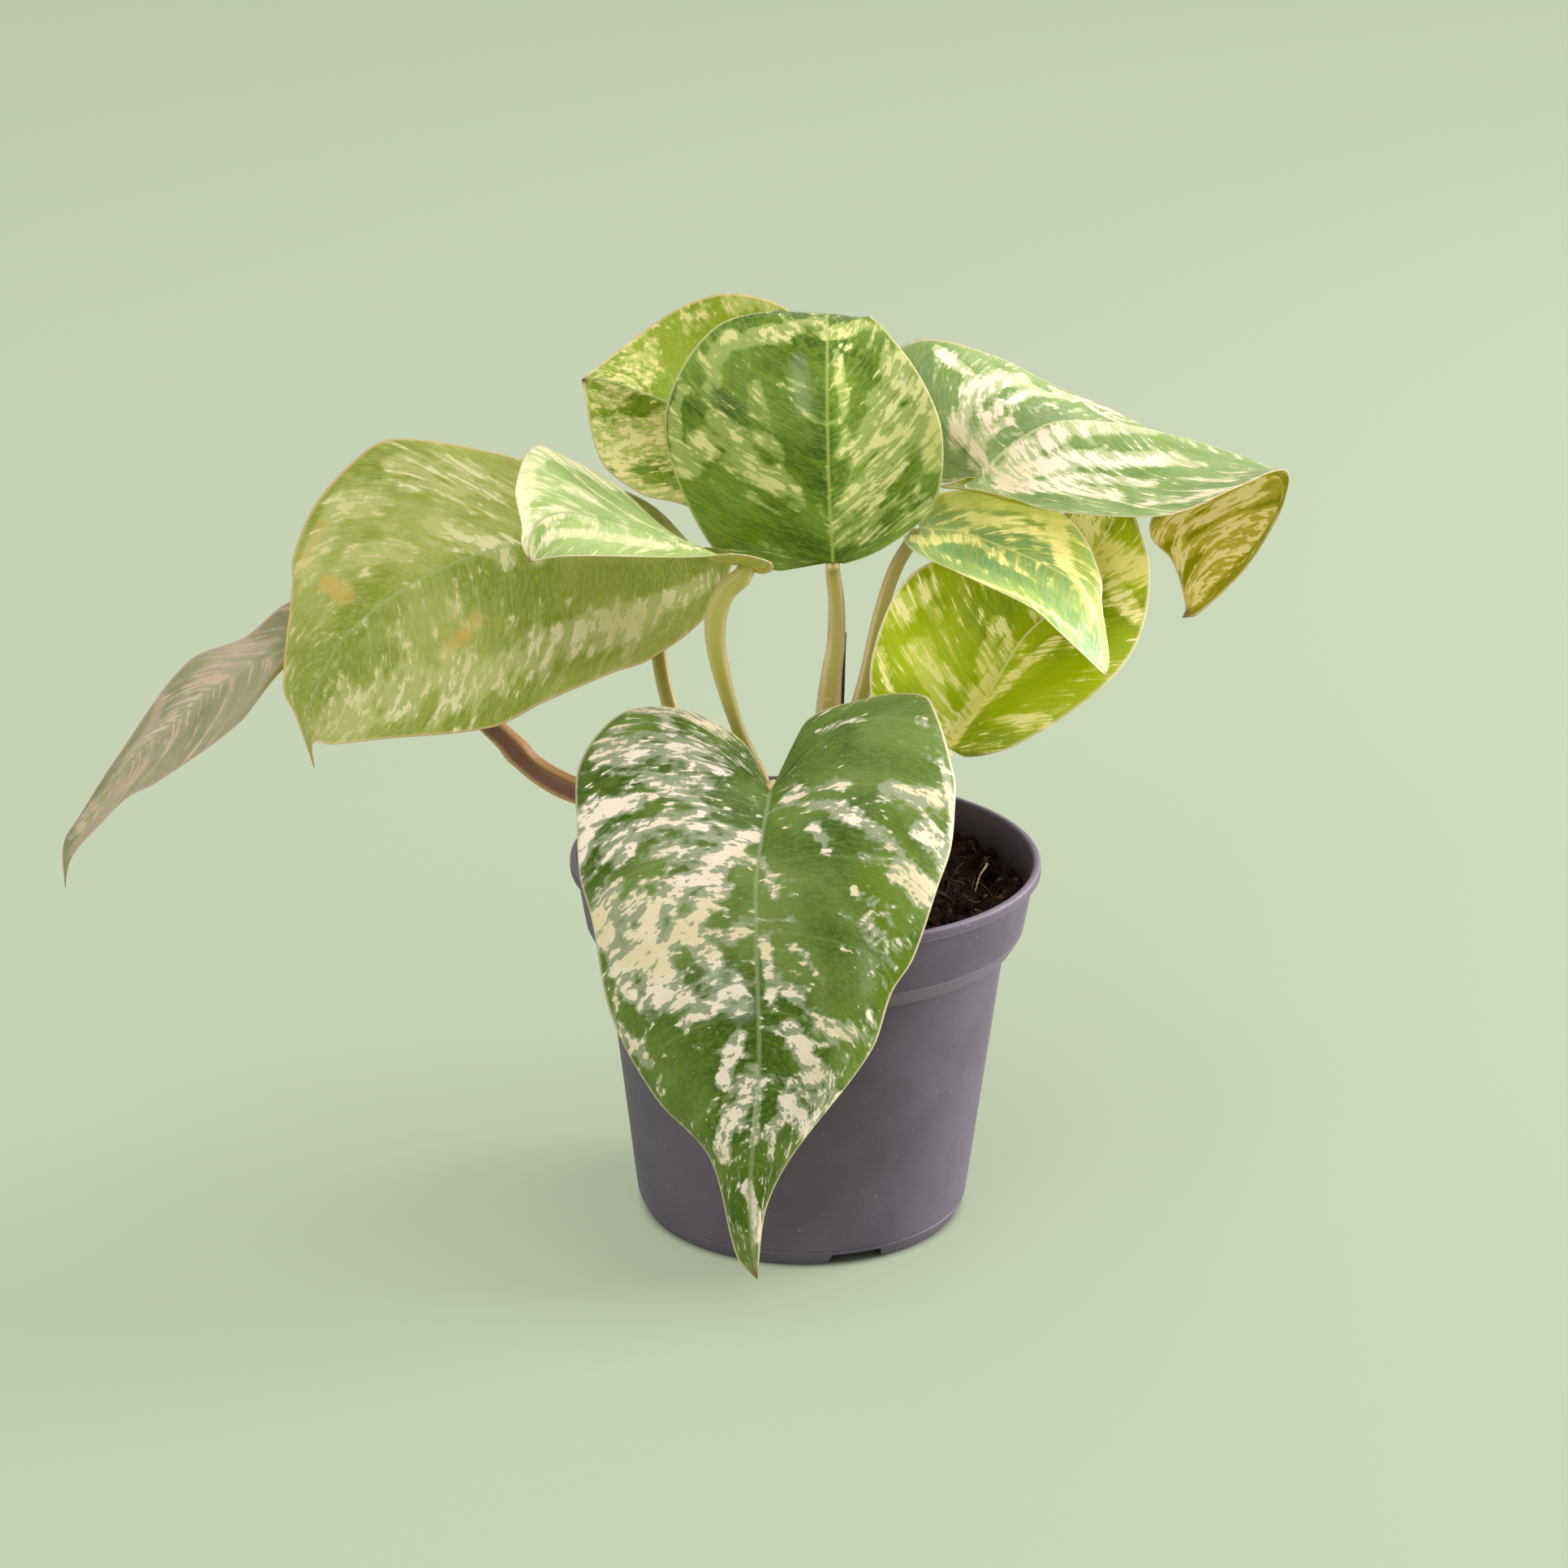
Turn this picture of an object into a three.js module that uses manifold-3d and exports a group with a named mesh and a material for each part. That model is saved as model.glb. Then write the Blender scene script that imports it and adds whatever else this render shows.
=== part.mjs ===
// A potted marble queen pothos: nine heart-shaped leaves on petioles, a short main stem,
// a brown runner, dark soil and a plastic nursery pot.
// Millimetres, +Z up. The origin is the middle of the pot's flat base, and the plant's front faces -Y.
import * as THREE from "three";
import { mergeVertices } from "three/addons/utils/BufferGeometryUtils.js";
import Module from "manifold-3d";

const wasm = await Module();
wasm.setup();

// Pot
const RIM_RADIUS = 60;
const POT_HEIGHT = 96;
const LIP_WIDTH = 2;
const LIP_HEIGHT = 3;
const BAND_RADIUS_TOP = 58.4;
const BAND_RADIUS_FOOT = 56;
const BAND_FOOT_Z = 79;
const SHOULDER_Z = 74;
const WALL_RADIUS_TOP = 51.3;
const WALL_RADIUS_FOOT = 42.9;
const WALL = 1.4;
const FOOT_RING_Z = 4.6;
const FOOT_RADIUS = 40.6;
const FOOT_RING_WIDTH = 3.2;
const FOOT_ROUND = 1.2;
const PANEL_Z = 2.6;
const PANEL_TOP_Z = 4.4;
const PAD_RADIUS = 12;
const PAD_SLOPE = 0.8;
const RING_GROOVE = 0.4;
const SHOULDER_STEP_OUT = 2.4;
const SHOULDER_STEP_UP = 1;
const BAND_UNDERCUT = 1;
const BAND_UNDERCUT_DROP = 2;
const EDGE_ROUND = 0.6;
const POT_SIDES = 40;
const NOTCH_COUNT = 3;
const NOTCH_FIRST_DEG = -70.5;
const NOTCH_WIDTH = 14;
const NOTCH_HEIGHT = 2.6;
const DRAIN_COUNT = 6;
const DRAIN_RING_RADIUS = 25;
const DRAIN_RADIUS = 3.5;
const DRAIN_SIDES = 12;

// Soil
const SOIL_Z = 86;
const SOIL_EDGE_DROP = 2.5;
const SOIL_EDGE_ROUND = 0.4;
const SOIL_CLEARANCE = 0.5;
const SOIL_RINGS = 7;
// Crumbs and hollows of the soil's top: each wave's height, and its run in radians a millimetre.
const SOIL_WAVES = [
  { height: 0.9, alongX: 0.31, alongY: 0.27, start: 1.7 },
  { height: 0.8, alongX: 0.35, alongY: -0.62, start: 0.4 },
  { height: 0.6, alongX: -0.83, alongY: 0.55, start: 1.1 },
];
const STEM_CLEARANCE = 0.4;
const HOLE_DEPTH = 0.6;

// Leaf blades
const BLADE = 0.8;
const MIDRIB_KEEL = 0.9;
const SEAT_CUT = 0.4;
const SEAT_DIMPLE = 2.1;
const FIRST_SHARE = 0.09;
const FAN_ROWS = 3;
const VEIN_LEAD = 1.15;
const VEIN_END = 0.12;
const SLOPE_STEP = 0.01;
const ARCH_STATIONS = [0, 0.35, 0.7, 1];
const ARCH_LIMIT = 0.12;

// Each leaf: its midrib from the petiole to the tip, and the margin on each side, which starts at the
// petiole, goes round the basal lobe and ends at the tip. Left and right are seen on the upper face with
// the tip down.
// lobe: the share of each margin whose veins fan out of the petiole. arch: how far each half bulges upward,
// at most the ARCH_LIMIT share of a vein's length.
const LEAVES = [
  {
    name: "leaf_front",
    colour: "#6f8f4e",
    rows: 18,
    across: 6,
    midrib: [
      [-9, -42, 128], [-12, -60, 114], [-12, -69, 101], [-11, -76, 70], [-13, -75, 34], [-11, -73, 12],
    ],
    left: [
      [-16, -33, 138], [-31, -24, 143], [-46, -22, 141], [-56, -28, 130], [-56, -43, 117],
      [-55, -50, 108], [-52, -56, 100], [-47, -64, 78], [-36, -68, 58], [-23, -71, 44], [-16, -73, 18],
    ],
    right: [
      [-5, -37, 132], [0, -28, 142], [16, -22, 146], [25, -22, 147], [30, -24, 146], [36, -35, 130],
      [36, -41, 124], [35, -46, 115], [32, -52, 108], [26, -60, 92], [21, -64, 85], [16, -68, 71],
      [-3, -73, 45], [-9, -73, 31],
    ],
    lobe: [0.26, 0.26],
    arch: [[3, 5, 3, 0], [3, 5, 3, 0]],
  },
  {
    name: "leaf_centre",
    colour: "#5e8c3a",
    rows: 16,
    across: 6,
    midrib: [
      [6, 6, 172], [5, 4, 186], [4, 10, 213], [4, 24, 228], [4, 33, 230], [9, 43, 222], [11, 51, 212],
    ],
    left: [
      [8, 7, 171], [19, 9, 175], [31, 13, 185], [33, 17, 202], [26, 21, 216], [13, 33, 227],
      [18, 42, 220], [16, 48, 214],
    ],
    right: [
      [2, 7, 172], [-8, 11, 168], [-18, 15, 171], [-25, 17, 173], [-36, 20, 197], [-35, 21, 212],
      [-25, 27, 225], [-10, 36, 228], [-2, 44, 221], [5, 49, 215],
    ],
    lobe: [0.24, 0.24],
    arch: [[0, -3, -3, 0], [0, -3, -3, 0]],
  },
  {
    name: "leaf_back",
    colour: "#7f9c3f",
    rows: 14,
    across: 5,
    midrib: [[1, 38, 182], [-10, 41, 190], [-25, 42, 198], [-51, 37, 210], [-58, 34, 211]],
    left: [
      [5, 42, 183], [8, 48, 190], [7, 58, 203], [1, 66, 214], [-7, 68, 222], [-21, 66, 226],
      [-33, 60, 224], [-45, 50, 218],
    ],
    right: [[1, 35, 181], [-8, 29, 176], [-20, 26, 177], [-34, 27, 181], [-43, 28, 183], [-53, 30, 191]],
    lobe: [0.3, 0.28],
    arch: [[0, -3, -3, 0], [0, -3, -3, 0]],
  },
  {
    name: "leaf_back_right",
    colour: "#6d9560",
    rows: 20,
    across: 6,
    midrib: [
      [44, 30, 189], [53, 35, 196], [64, 40, 200], [89, 50, 195], [119, 57, 184], [125, 61, 178],
      [123, 63, 169], [114, 58, 157], [98, 48, 145],
    ],
    left: [
      [41, 27, 189], [36, 25, 187.5], [32, 22, 187.5], [35, 16, 189], [42, 10, 190], [51, 6, 189],
      [58, 4, 187], [74, 5, 185], [91, 11, 184], [108, 25, 187], [121, 42, 187], [126, 52, 181],
      [125, 55, 176], [115, 53, 158], [102, 48, 146],
    ],
    right: [
      [38, 33, 185.5], [30, 38, 184.5], [22, 46, 191], [20, 56, 203], [22, 62, 212], [31, 68, 214],
      [50, 76, 207], [62, 80, 200], [88, 86, 187], [98, 86, 179], [97, 80, 169], [91, 74, 164],
      [91, 69, 160], [96, 63, 156], [99, 51, 147],
    ],
    lobe: [0.22, 0.26],
    arch: [[-2, -5, -1, 0], [-2, -5, -2, 0]],
  },
  {
    name: "leaf_right",
    colour: "#8fae52",
    rows: 14,
    across: 5,
    midrib: [[28, 20, 177], [38, 17, 177], [63, 6, 170], [71, -1, 164], [74, -10, 148]],
    left: [[24, 18, 175], [27, 8, 174], [39, -5, 172], [55, -15, 167], [62, -16, 161]],
    right: [
      [26, 24, 181], [33, 26, 184.5], [43, 27, 185], [55, 29, 183.5], [68, 30, 175], [74, 18, 165],
      [74, 12, 160], [75, -5, 151],
    ],
    lobe: [0.2, 0.22],
    arch: [[0, -2, -2, 0], [0, -1, -1, 0]],
  },
  {
    name: "leaf_low_right",
    colour: "#86a836",
    rows: 14,
    across: 5,
    midrib: [[36, 6, 123], [46, 16, 134], [55, 25, 146], [65, 32, 154], [77, 41, 170], [80, 43, 179]],
    left: [[41, 2, 122], [53, -2, 127], [72, 2, 139], [83, 12, 149], [87, 25, 163], [84, 37, 175]],
    right: [[32, 2, 121], [18, -4, 133], [16, 0, 149], [26, 13, 167], [52, 31, 171], [67, 40, 176]],
    lobe: [0.14, 0.22],
    arch: [[0, 3, 3, 0], [0, 3, 3, 0]],
  },
  {
    name: "leaf_left",
    colour: "#7d9a4b",
    rows: 18,
    across: 6,
    midrib: [
      [-33, 14, 173], [-48, 13, 175], [-83, 10, 172], [-115, 6, 153], [-127, 5, 129], [-125, 3, 117],
    ],
    left: [
      [-30, 18, 172], [-31, 24, 172], [-41, 36, 178], [-56, 41, 183], [-87, 44, 190], [-106, 41, 193],
      [-113, 38, 191], [-125, 29, 180], [-131, 22, 167], [-131, 19, 161], [-133, 9, 136], [-130, 7, 130],
    ],
    right: [
      [-21, 6, 175], [-19, 4, 173], [-25, -3, 161], [-39, -9, 151], [-49, -12, 148], [-66, -15, 141],
      [-78, -16, 135], [-107, -9, 129], [-120, -2, 125], [-125, 2, 124],
    ],
    lobe: [0.18, 0.2],
    arch: [[-2, -4, -2, 0], [-2, -4, -2, 0]],
  },
  {
    name: "leaf_far_left",
    colour: "#9a9480",
    rows: 14,
    across: 5,
    midrib: [
      [-123, 22, 145], [-133, 21, 143], [-152, 18, 133], [-162, 17, 124], [-172, 16, 116],
      [-184.5, 14, 98], [-190.8, 12.6, 88], [-192, 12, 80],
    ],
    left: [
      [-121, 27, 147], [-126, 33, 152], [-134, 34, 151], [-145, 29, 143], [-159, 24, 138],
      [-177, 17.5, 114.5], [-187.5, 14.5, 98.5], [-192.6, 13, 90],
    ],
    right: [
      [-122, 18, 142], [-126, 15, 139], [-133, 13, 142], [-137, 11, 138], [-144, 10, 127],
      [-167, 12, 109], [-174, 13, 105], [-182, 12.8, 97], [-189, 12, 89],
    ],
    lobe: [0.16, 0.14],
    arch: [[0, -3, -3, 0], [0, -2, -2, 0]],
  },
  {
    name: "leaf_inner_left",
    colour: "#8db573",
    rows: 14,
    across: 5,
    midrib: [
      [-17, -10, 176], [-29, -13, 182], [-57, -11, 189], [-65, -15, 189], [-68, -21, 185],
      [-68, -26, 181],
    ],
    left: [
      [-19, -6, 176], [-31, -1, 178], [-48, 7, 191], [-59, 8, 197], [-68, 3, 202], [-72, -13, 196],
      [-70, -21, 188], [-70, -24, 185],
    ],
    right: [
      [-12, -11, 174], [-9, -14, 176], [-10, -17, 179], [-18, -21, 182], [-29, -24, 182],
      [-59, -31, 184],
    ],
    lobe: [0.2, 0.22],
    arch: [[0, -2, -2, 0], [0, -1, -1, 0]],
  },
];

// Stems. Each path is a middle line from the foot up, and its radii are spaced evenly from foot to top.
// A stem that stands in the soil starts with two points one above the other, in a plain hole.
const MAIN_STEM = {
  colour: "#8d8a4c",
  path: [[4, 4, 66], [4, 4, 92], [5, 4, 112], [6, 5, 128], [5, 5, 137]],
  radii: [3.6, 4.3, 3.4],
};
const STEM_BRANCHES = [
  {
    leaf: "leaf_centre",
    path: [[5, 5, 130], [6, 6, 142], [7, 7, 150], [7, 8, 161], [6, 8, 169], [6, 5, 175]],
    radii: [3.2, 2.1, 2],
  },
  {
    leaf: "leaf_right",
    path: [[6, 5, 112], [10, 7, 124], [14, 9, 137], [18, 14, 155], [22, 18, 167], [29, 20, 178]],
    radii: [2.6, 1.8, 2.2],
  },
  {
    leaf: "leaf_back",
    path: [[5, 5, 108], [7, 11, 130], [7.5, 17, 146], [6.5, 24, 161], [4, 33, 174], [0, 38, 184]],
    radii: [2.4, 1.7, 1.8],
  },
];
const PETIOLES = [
  {
    name: "petiole_front",
    leaf: "leaf_front",
    path: [[-6, -9, 66], [-6, -9, 90], [-7, -13, 108], [-8, -26, 123], [-9, -43, 130]],
    radii: [2.4, 1.9, 2],
  },
  {
    name: "petiole_inner_left",
    leaf: "leaf_inner_left",
    path: [
      [-6, -2, 66], [-6, -2, 90], [-8, -5, 106], [-11, -7, 118], [-17, -9, 132], [-21, -11, 146],
      [-23, -12, 157], [-23, -12, 165], [-21, -11, 171], [-14, -9, 178],
    ],
    radii: [2.3, 2, 1.8, 1.8, 1.8, 2, 3.8],
  },
  {
    name: "petiole_left",
    leaf: "leaf_left",
    path: [
      [-16, 9, 66], [-16, 9, 88], [-20, 12, 101], [-29, 15, 115], [-35, 18, 129], [-38, 20, 143],
      [-38, 20, 157], [-34, 15, 176],
    ],
    radii: [2.5, 2, 2],
  },
  {
    name: "petiole_back_right",
    leaf: "leaf_back_right",
    path: [
      [14, 14, 66], [14, 14, 90], [18, 17, 103], [27, 24, 130], [38, 32, 158], [45, 35, 175],
      [45, 31, 194],
    ],
    radii: [2.5, 1.9, 2.1],
  },
  {
    name: "petiole_low_right",
    leaf: "leaf_low_right",
    path: [[17, 2, 66], [17, 2, 90], [22, 4, 102], [30, 7, 112], [38, 6, 126]],
    radii: [2.4, 1.9, 1.9],
  },
];
const RUNNER = {
  name: "runner_stem",
  leaf: "leaf_far_left",
  path: [
    [-22, 16, 66], [-22, 16, 88], [-30, 17, 98], [-45, 18, 103], [-60, 19, 106], [-70, 21, 111],
    [-79, 22, 120], [-91, 24, 130], [-107, 24, 139], [-126, 22, 146],
  ],
  radii: [3.5, 3.4, 1.9],
};
const STEM_SIDES = 8;
const STEM_STEP = 9;
const PETIOLE_COLOUR = "#9a9a55";
const RUNNER_COLOUR = "#7a5638";

// The point at a share of the length of the smooth curve that passes through every point.
function along(points, share) {
  const lengths = [0];
  for (let i = 1; i < points.length; i++) {
    lengths.push(lengths[i - 1] + points[i].distanceTo(points[i - 1]));
  }
  const last = points.length - 1;
  const x = Math.min(Math.max(share, 0), 1) * lengths[last];
  let i = 0;
  while (i < last - 1 && lengths[i + 1] <= x) i++;
  const slope = (k) => {
    const before = Math.max(k - 1, 0);
    const after = Math.min(k + 1, last);
    return points[after].clone().sub(points[before]).divideScalar(lengths[after] - lengths[before]);
  };
  const h = lengths[i + 1] - lengths[i];
  const w = (x - lengths[i]) / h;
  return new THREE.Vector3()
    .addScaledVector(points[i], 2 * w ** 3 - 3 * w ** 2 + 1)
    .addScaledVector(slope(i), (w ** 3 - 2 * w ** 2 + w) * h)
    .addScaledVector(points[i + 1], 3 * w ** 2 - 2 * w ** 3)
    .addScaledVector(slope(i + 1), (w ** 3 - w ** 2) * h);
}

const vectors = (rows) => rows.map((row) => new THREE.Vector3(...row));
const lengthOf = (points) => points.slice(1).reduce((sum, p, i) => sum + p.distanceTo(points[i]), 0);

// The value at x of the straight pieces through the points (xs, ys).
function between(xs, ys, x) {
  let i = 0;
  while (i < xs.length - 2 && xs[i + 1] <= x) i++;
  const w = Math.min(Math.max((x - xs[i]) / (xs[i + 1] - xs[i]), 0), 1);
  return ys[i] + (ys[i + 1] - ys[i]) * w;
}

// A closed solid from a flat list of positions and triangles.
function solidOf(geometry) {
  const bare = geometry.index ? geometry.toNonIndexed() : geometry.clone();
  bare.deleteAttribute("normal");
  bare.deleteAttribute("uv");
  const merged = mergeVertices(bare, 1e-4);
  return new wasm.Manifold(
    new wasm.Mesh({
      numProp: 3,
      vertProperties: new Float32Array(merged.attributes.position.array),
      triVerts: new Uint32Array(merged.index.array),
    }),
  );
}

function geometryOf(solid) {
  const mesh = solid.getMesh();
  const geometry = new THREE.BufferGeometry();
  geometry.setAttribute("position", new THREE.Float32BufferAttribute(mesh.vertProperties, 3));
  geometry.setIndex(new THREE.Uint32BufferAttribute(mesh.triVerts, 1));
  return geometry;
}

function indexed(points, triangles) {
  const geometry = new THREE.BufferGeometry();
  const flat = points.flatMap((p) => [p.x, p.y, p.z]);
  geometry.setAttribute("position", new THREE.Float32BufferAttribute(flat, 3));
  geometry.setIndex(triangles.flat());
  return geometry;
}

// Leaf blades. A vein runs from the midrib to the margin. Its share goes from the petiole, 0, to the tip, 1.
function veinRoot(leaf, side, share) {
  const fan = leaf.lobe[side];
  return along(leaf.midrib, share <= fan ? 0 : ((share - fan) / (1 - fan)) ** VEIN_LEAD);
}

// The first rows fan out of the petiole, and the rest leave the midrib at the same points on both sides.
function rowShare(leaf, side, row) {
  const fan = leaf.lobe[side];
  if (row <= FAN_ROWS) return FIRST_SHARE + ((fan - FIRST_SHARE) * row) / FAN_ROWS;
  return fan + ((1 - fan) * (row - FAN_ROWS)) / (leaf.rows - FAN_ROWS);
}

// The upward direction of one half of the blade across a vein.
function upAt(leaf, side, share) {
  const middle = Math.min(Math.max(share, VEIN_END), 1 - VEIN_END);
  const onward = veinRoot(leaf, side, middle + SLOPE_STEP)
    .sub(veinRoot(leaf, side, middle - SLOPE_STEP))
    .add(along(leaf.margins[side], middle + SLOPE_STEP))
    .sub(along(leaf.margins[side], middle - SLOPE_STEP));
  const outward = along(leaf.margins[side], middle).sub(veinRoot(leaf, side, middle));
  const up = side === 0 ? outward.cross(onward) : onward.cross(outward);
  return up.normalize();
}

function bladePoint(leaf, side, share, out) {
  const root = veinRoot(leaf, side, share);
  const edge = along(leaf.margins[side], share);
  const limit = ARCH_LIMIT * root.distanceTo(edge);
  const arch = Math.min(Math.max(between(ARCH_STATIONS, leaf.arch[side], share), -limit), limit);
  return root.lerp(edge, out).addScaledVector(upAt(leaf, side, share), arch * 4 * out * (1 - out));
}

// The blade's middle surface as a grid of veins, with each half's rows sharing the midrib.
function bladeSurface(leaf) {
  const points = [];
  const keels = [];
  const triangles = [];
  const known = new Map();
  const vertex = (p, keel) => {
    const key = [p.x, p.y, p.z].map((c) => c.toFixed(3)).join(",");
    if (!known.has(key)) {
      known.set(key, points.length);
      points.push(p);
      keels.push(keel);
    }
    return known.get(key);
  };
  for (const side of [0, 1]) {
    const grid = [];
    for (let i = 0; i <= leaf.rows; i++) {
      const share = rowShare(leaf, side, i);
      const keel = share > leaf.lobe[side] ? MIDRIB_KEEL * (1 - share) : 0;
      const row = [vertex(bladePoint(leaf, side, share, 0), keel)];
      for (let j = 1; j <= leaf.across; j++) {
        row.push(vertex(bladePoint(leaf, side, share, j / leaf.across), 0));
      }
      grid.push(row);
    }
    for (let i = 0; i < leaf.rows; i++) {
      for (let j = 0; j < leaf.across; j++) {
        const [near, out, outNext, next] = [grid[i][j], grid[i][j + 1], grid[i + 1][j + 1], grid[i + 1][j]];
        for (const [a, b, c] of [[near, out, outNext], [near, outNext, next]]) {
          if (a !== b && b !== c && c !== a) triangles.push(side === 0 ? [a, b, c] : [c, b, a]);
        }
      }
    }
  }
  return { points, keels, triangles };
}

function vertexNormals(points, triangles) {
  const normals = points.map(() => new THREE.Vector3());
  for (const [a, b, c] of triangles) {
    const across = points[b].clone().sub(points[a]).cross(points[c].clone().sub(points[a]));
    for (const k of [a, b, c]) normals[k].add(across);
  }
  return normals.map((n) => n.normalize());
}

// Both faces follow the middle surface, split into triangles alike, with a wall round the margin.
// spare widens the whole blade by that much, for cutting what stands close to it.
function thicken({ points, keels, triangles }, thickness, spare = 0) {
  const normals = vertexNormals(points, triangles);
  const edges = new Set(triangles.flatMap(([a, b, c]) => [`${a},${b}`, `${b},${c}`, `${c},${a}`]));
  const pairs = [...edges].map((edge) => edge.split(",").map(Number));
  const rim = pairs.filter(([a, b]) => !edges.has(`${b},${a}`));
  const outward = points.map(() => new THREE.Vector3());
  for (const [a, b] of rim) {
    const away = points[b].clone().sub(points[a]).cross(normals[a]).normalize();
    outward[a].add(away);
    outward[b].add(away);
  }
  const spread = points.map((p, i) => p.clone().addScaledVector(outward[i].normalize(), spare));
  const rise = thickness / 2 + spare;
  const upper = spread.map((p, i) => p.clone().addScaledVector(normals[i], rise));
  const lower = spread.map((p, i) => p.clone().addScaledVector(normals[i], -rise - keels[i]));
  const count = points.length;
  const faces = triangles.concat(triangles.map(([a, b, c]) => [c + count, b + count, a + count]));
  for (const [a, b] of rim) {
    faces.push([b, a, a + count]);
    faces.push([b, a + count, b + count]);
  }
  return indexed(upper.concat(lower), faces);
}

function readyLeaf(row) {
  const midrib = vectors(row.midrib);
  const tip = midrib[midrib.length - 1];
  const margins = [row.left, row.right].map((rows) => [midrib[0], ...vectors(rows), tip]);
  return { ...row, midrib, margins };
}

// A round stem along a smooth curve, from one radius to the next.
function stem(rows, radii, extra = 0) {
  const path = vectors(rows);
  const steps = Math.max(4, Math.round(lengthOf(path) / STEM_STEP));
  const points = [];
  const faces = [];
  let across = new THREE.Vector3(0, 1, 0);
  for (let i = 0; i <= steps; i++) {
    const share = i / steps;
    const centre = along(path, share);
    const tangent = along(path, share + SLOPE_STEP).sub(along(path, share - SLOPE_STEP)).normalize();
    across.addScaledVector(tangent, -across.dot(tangent)).normalize();
    const sideways = tangent.clone().cross(across);
    const radius = between(radii.map((_, k) => k / (radii.length - 1)), radii, share) + extra;
    for (let k = 0; k < STEM_SIDES; k++) {
      const turn = (2 * Math.PI * k) / STEM_SIDES;
      const spoke = across.clone().multiplyScalar(Math.cos(turn)).addScaledVector(sideways, Math.sin(turn));
      points.push(centre.clone().addScaledVector(spoke, radius));
    }
  }
  const foot = points.push(along(path, 0)) - 1;
  const top = points.push(along(path, 1)) - 1;
  for (let k = 0; k < STEM_SIDES; k++) {
    const next = (k + 1) % STEM_SIDES;
    faces.push([foot, next, k]);
    faces.push([top, steps * STEM_SIDES + k, steps * STEM_SIDES + next]);
    for (let i = 0; i < steps; i++) {
      const a = i * STEM_SIDES + k;
      const b = i * STEM_SIDES + next;
      faces.push([a, b, b + STEM_SIDES]);
      faces.push([a, b + STEM_SIDES, a + STEM_SIDES]);
    }
  }
  return solidOf(indexed(points, faces));
}

// The stem stops just under its blade: what a slightly thicker blade takes away is left out, and so is
// what lies past it.
// A dimple round the middle keeps it clear of the point where the blade's veins meet.
function seated(stemSolid, leafName) {
  const surface = surfaces.get(leafName);
  const { x, y, z } = surface.points[0];
  const dimple = new THREE.IcosahedronGeometry(SEAT_DIMPLE, 1).translate(x, y, z);
  const fat = solidOf(thicken(surface, BLADE, SEAT_CUT));
  const parts = stemSolid.subtract(fat).subtract(solidOf(dimple)).decompose();
  return parts.sort((a, b) => b.volume() - a.volume())[0];
}

// Pot: one lathed shell with a foot ring, a raised panel, a centre pad and a rim band under a rolled lip.
function potProfile() {
  const footInside = FOOT_RADIUS - FOOT_RING_WIDTH;
  const lipInside = RIM_RADIUS - LIP_WIDTH;
  const underLip = POT_HEIGHT - LIP_HEIGHT;
  const outer = [
    [0, 0],
    [PAD_RADIUS, 0],
    [PAD_RADIUS + PAD_SLOPE, PANEL_Z],
    [footInside - PAD_SLOPE / 2, PANEL_Z],
    [footInside, 0],
    [FOOT_RADIUS - FOOT_ROUND, 0],
    [FOOT_RADIUS - 0.3 * FOOT_ROUND, 0.3 * FOOT_ROUND],
    [FOOT_RADIUS, FOOT_ROUND],
    [WALL_RADIUS_FOOT - RING_GROOVE, FOOT_RING_Z - RING_GROOVE],
    [WALL_RADIUS_FOOT, FOOT_RING_Z],
    [WALL_RADIUS_TOP, SHOULDER_Z],
    [WALL_RADIUS_TOP + SHOULDER_STEP_OUT, SHOULDER_Z + SHOULDER_STEP_UP],
    [BAND_RADIUS_FOOT - BAND_UNDERCUT, BAND_FOOT_Z - BAND_UNDERCUT_DROP],
    [BAND_RADIUS_FOOT, BAND_FOOT_Z],
    [BAND_RADIUS_TOP, underLip],
    [RIM_RADIUS - EDGE_ROUND / 2, underLip + EDGE_ROUND / 2],
    [RIM_RADIUS, POT_HEIGHT - EDGE_ROUND],
    [RIM_RADIUS - EDGE_ROUND, POT_HEIGHT],
  ];
  const inner = [
    [lipInside + EDGE_ROUND, POT_HEIGHT],
    [lipInside, POT_HEIGHT - EDGE_ROUND],
    ...innerWall().reverse(),
    [innerWall()[0][0] - WALL, PANEL_TOP_Z],
    [0, PANEL_TOP_Z],
  ];
  return [...outer, ...inner];
}

// The inside of the pot's wall from the floor's corner up to the rim band's foot, as radius and height.
function innerWall() {
  return [
    [WALL_RADIUS_FOOT - WALL, PANEL_TOP_Z + WALL],
    [WALL_RADIUS_TOP - WALL, SHOULDER_Z + EDGE_ROUND],
    [BAND_RADIUS_FOOT - WALL, BAND_FOOT_Z - EDGE_ROUND],
  ];
}

function lathe(profile) {
  const points = profile.map(([r, z]) => new THREE.Vector2(r, z));
  return solidOf(new THREE.LatheGeometry(points, POT_SIDES).rotateX(Math.PI / 2));
}

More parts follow.
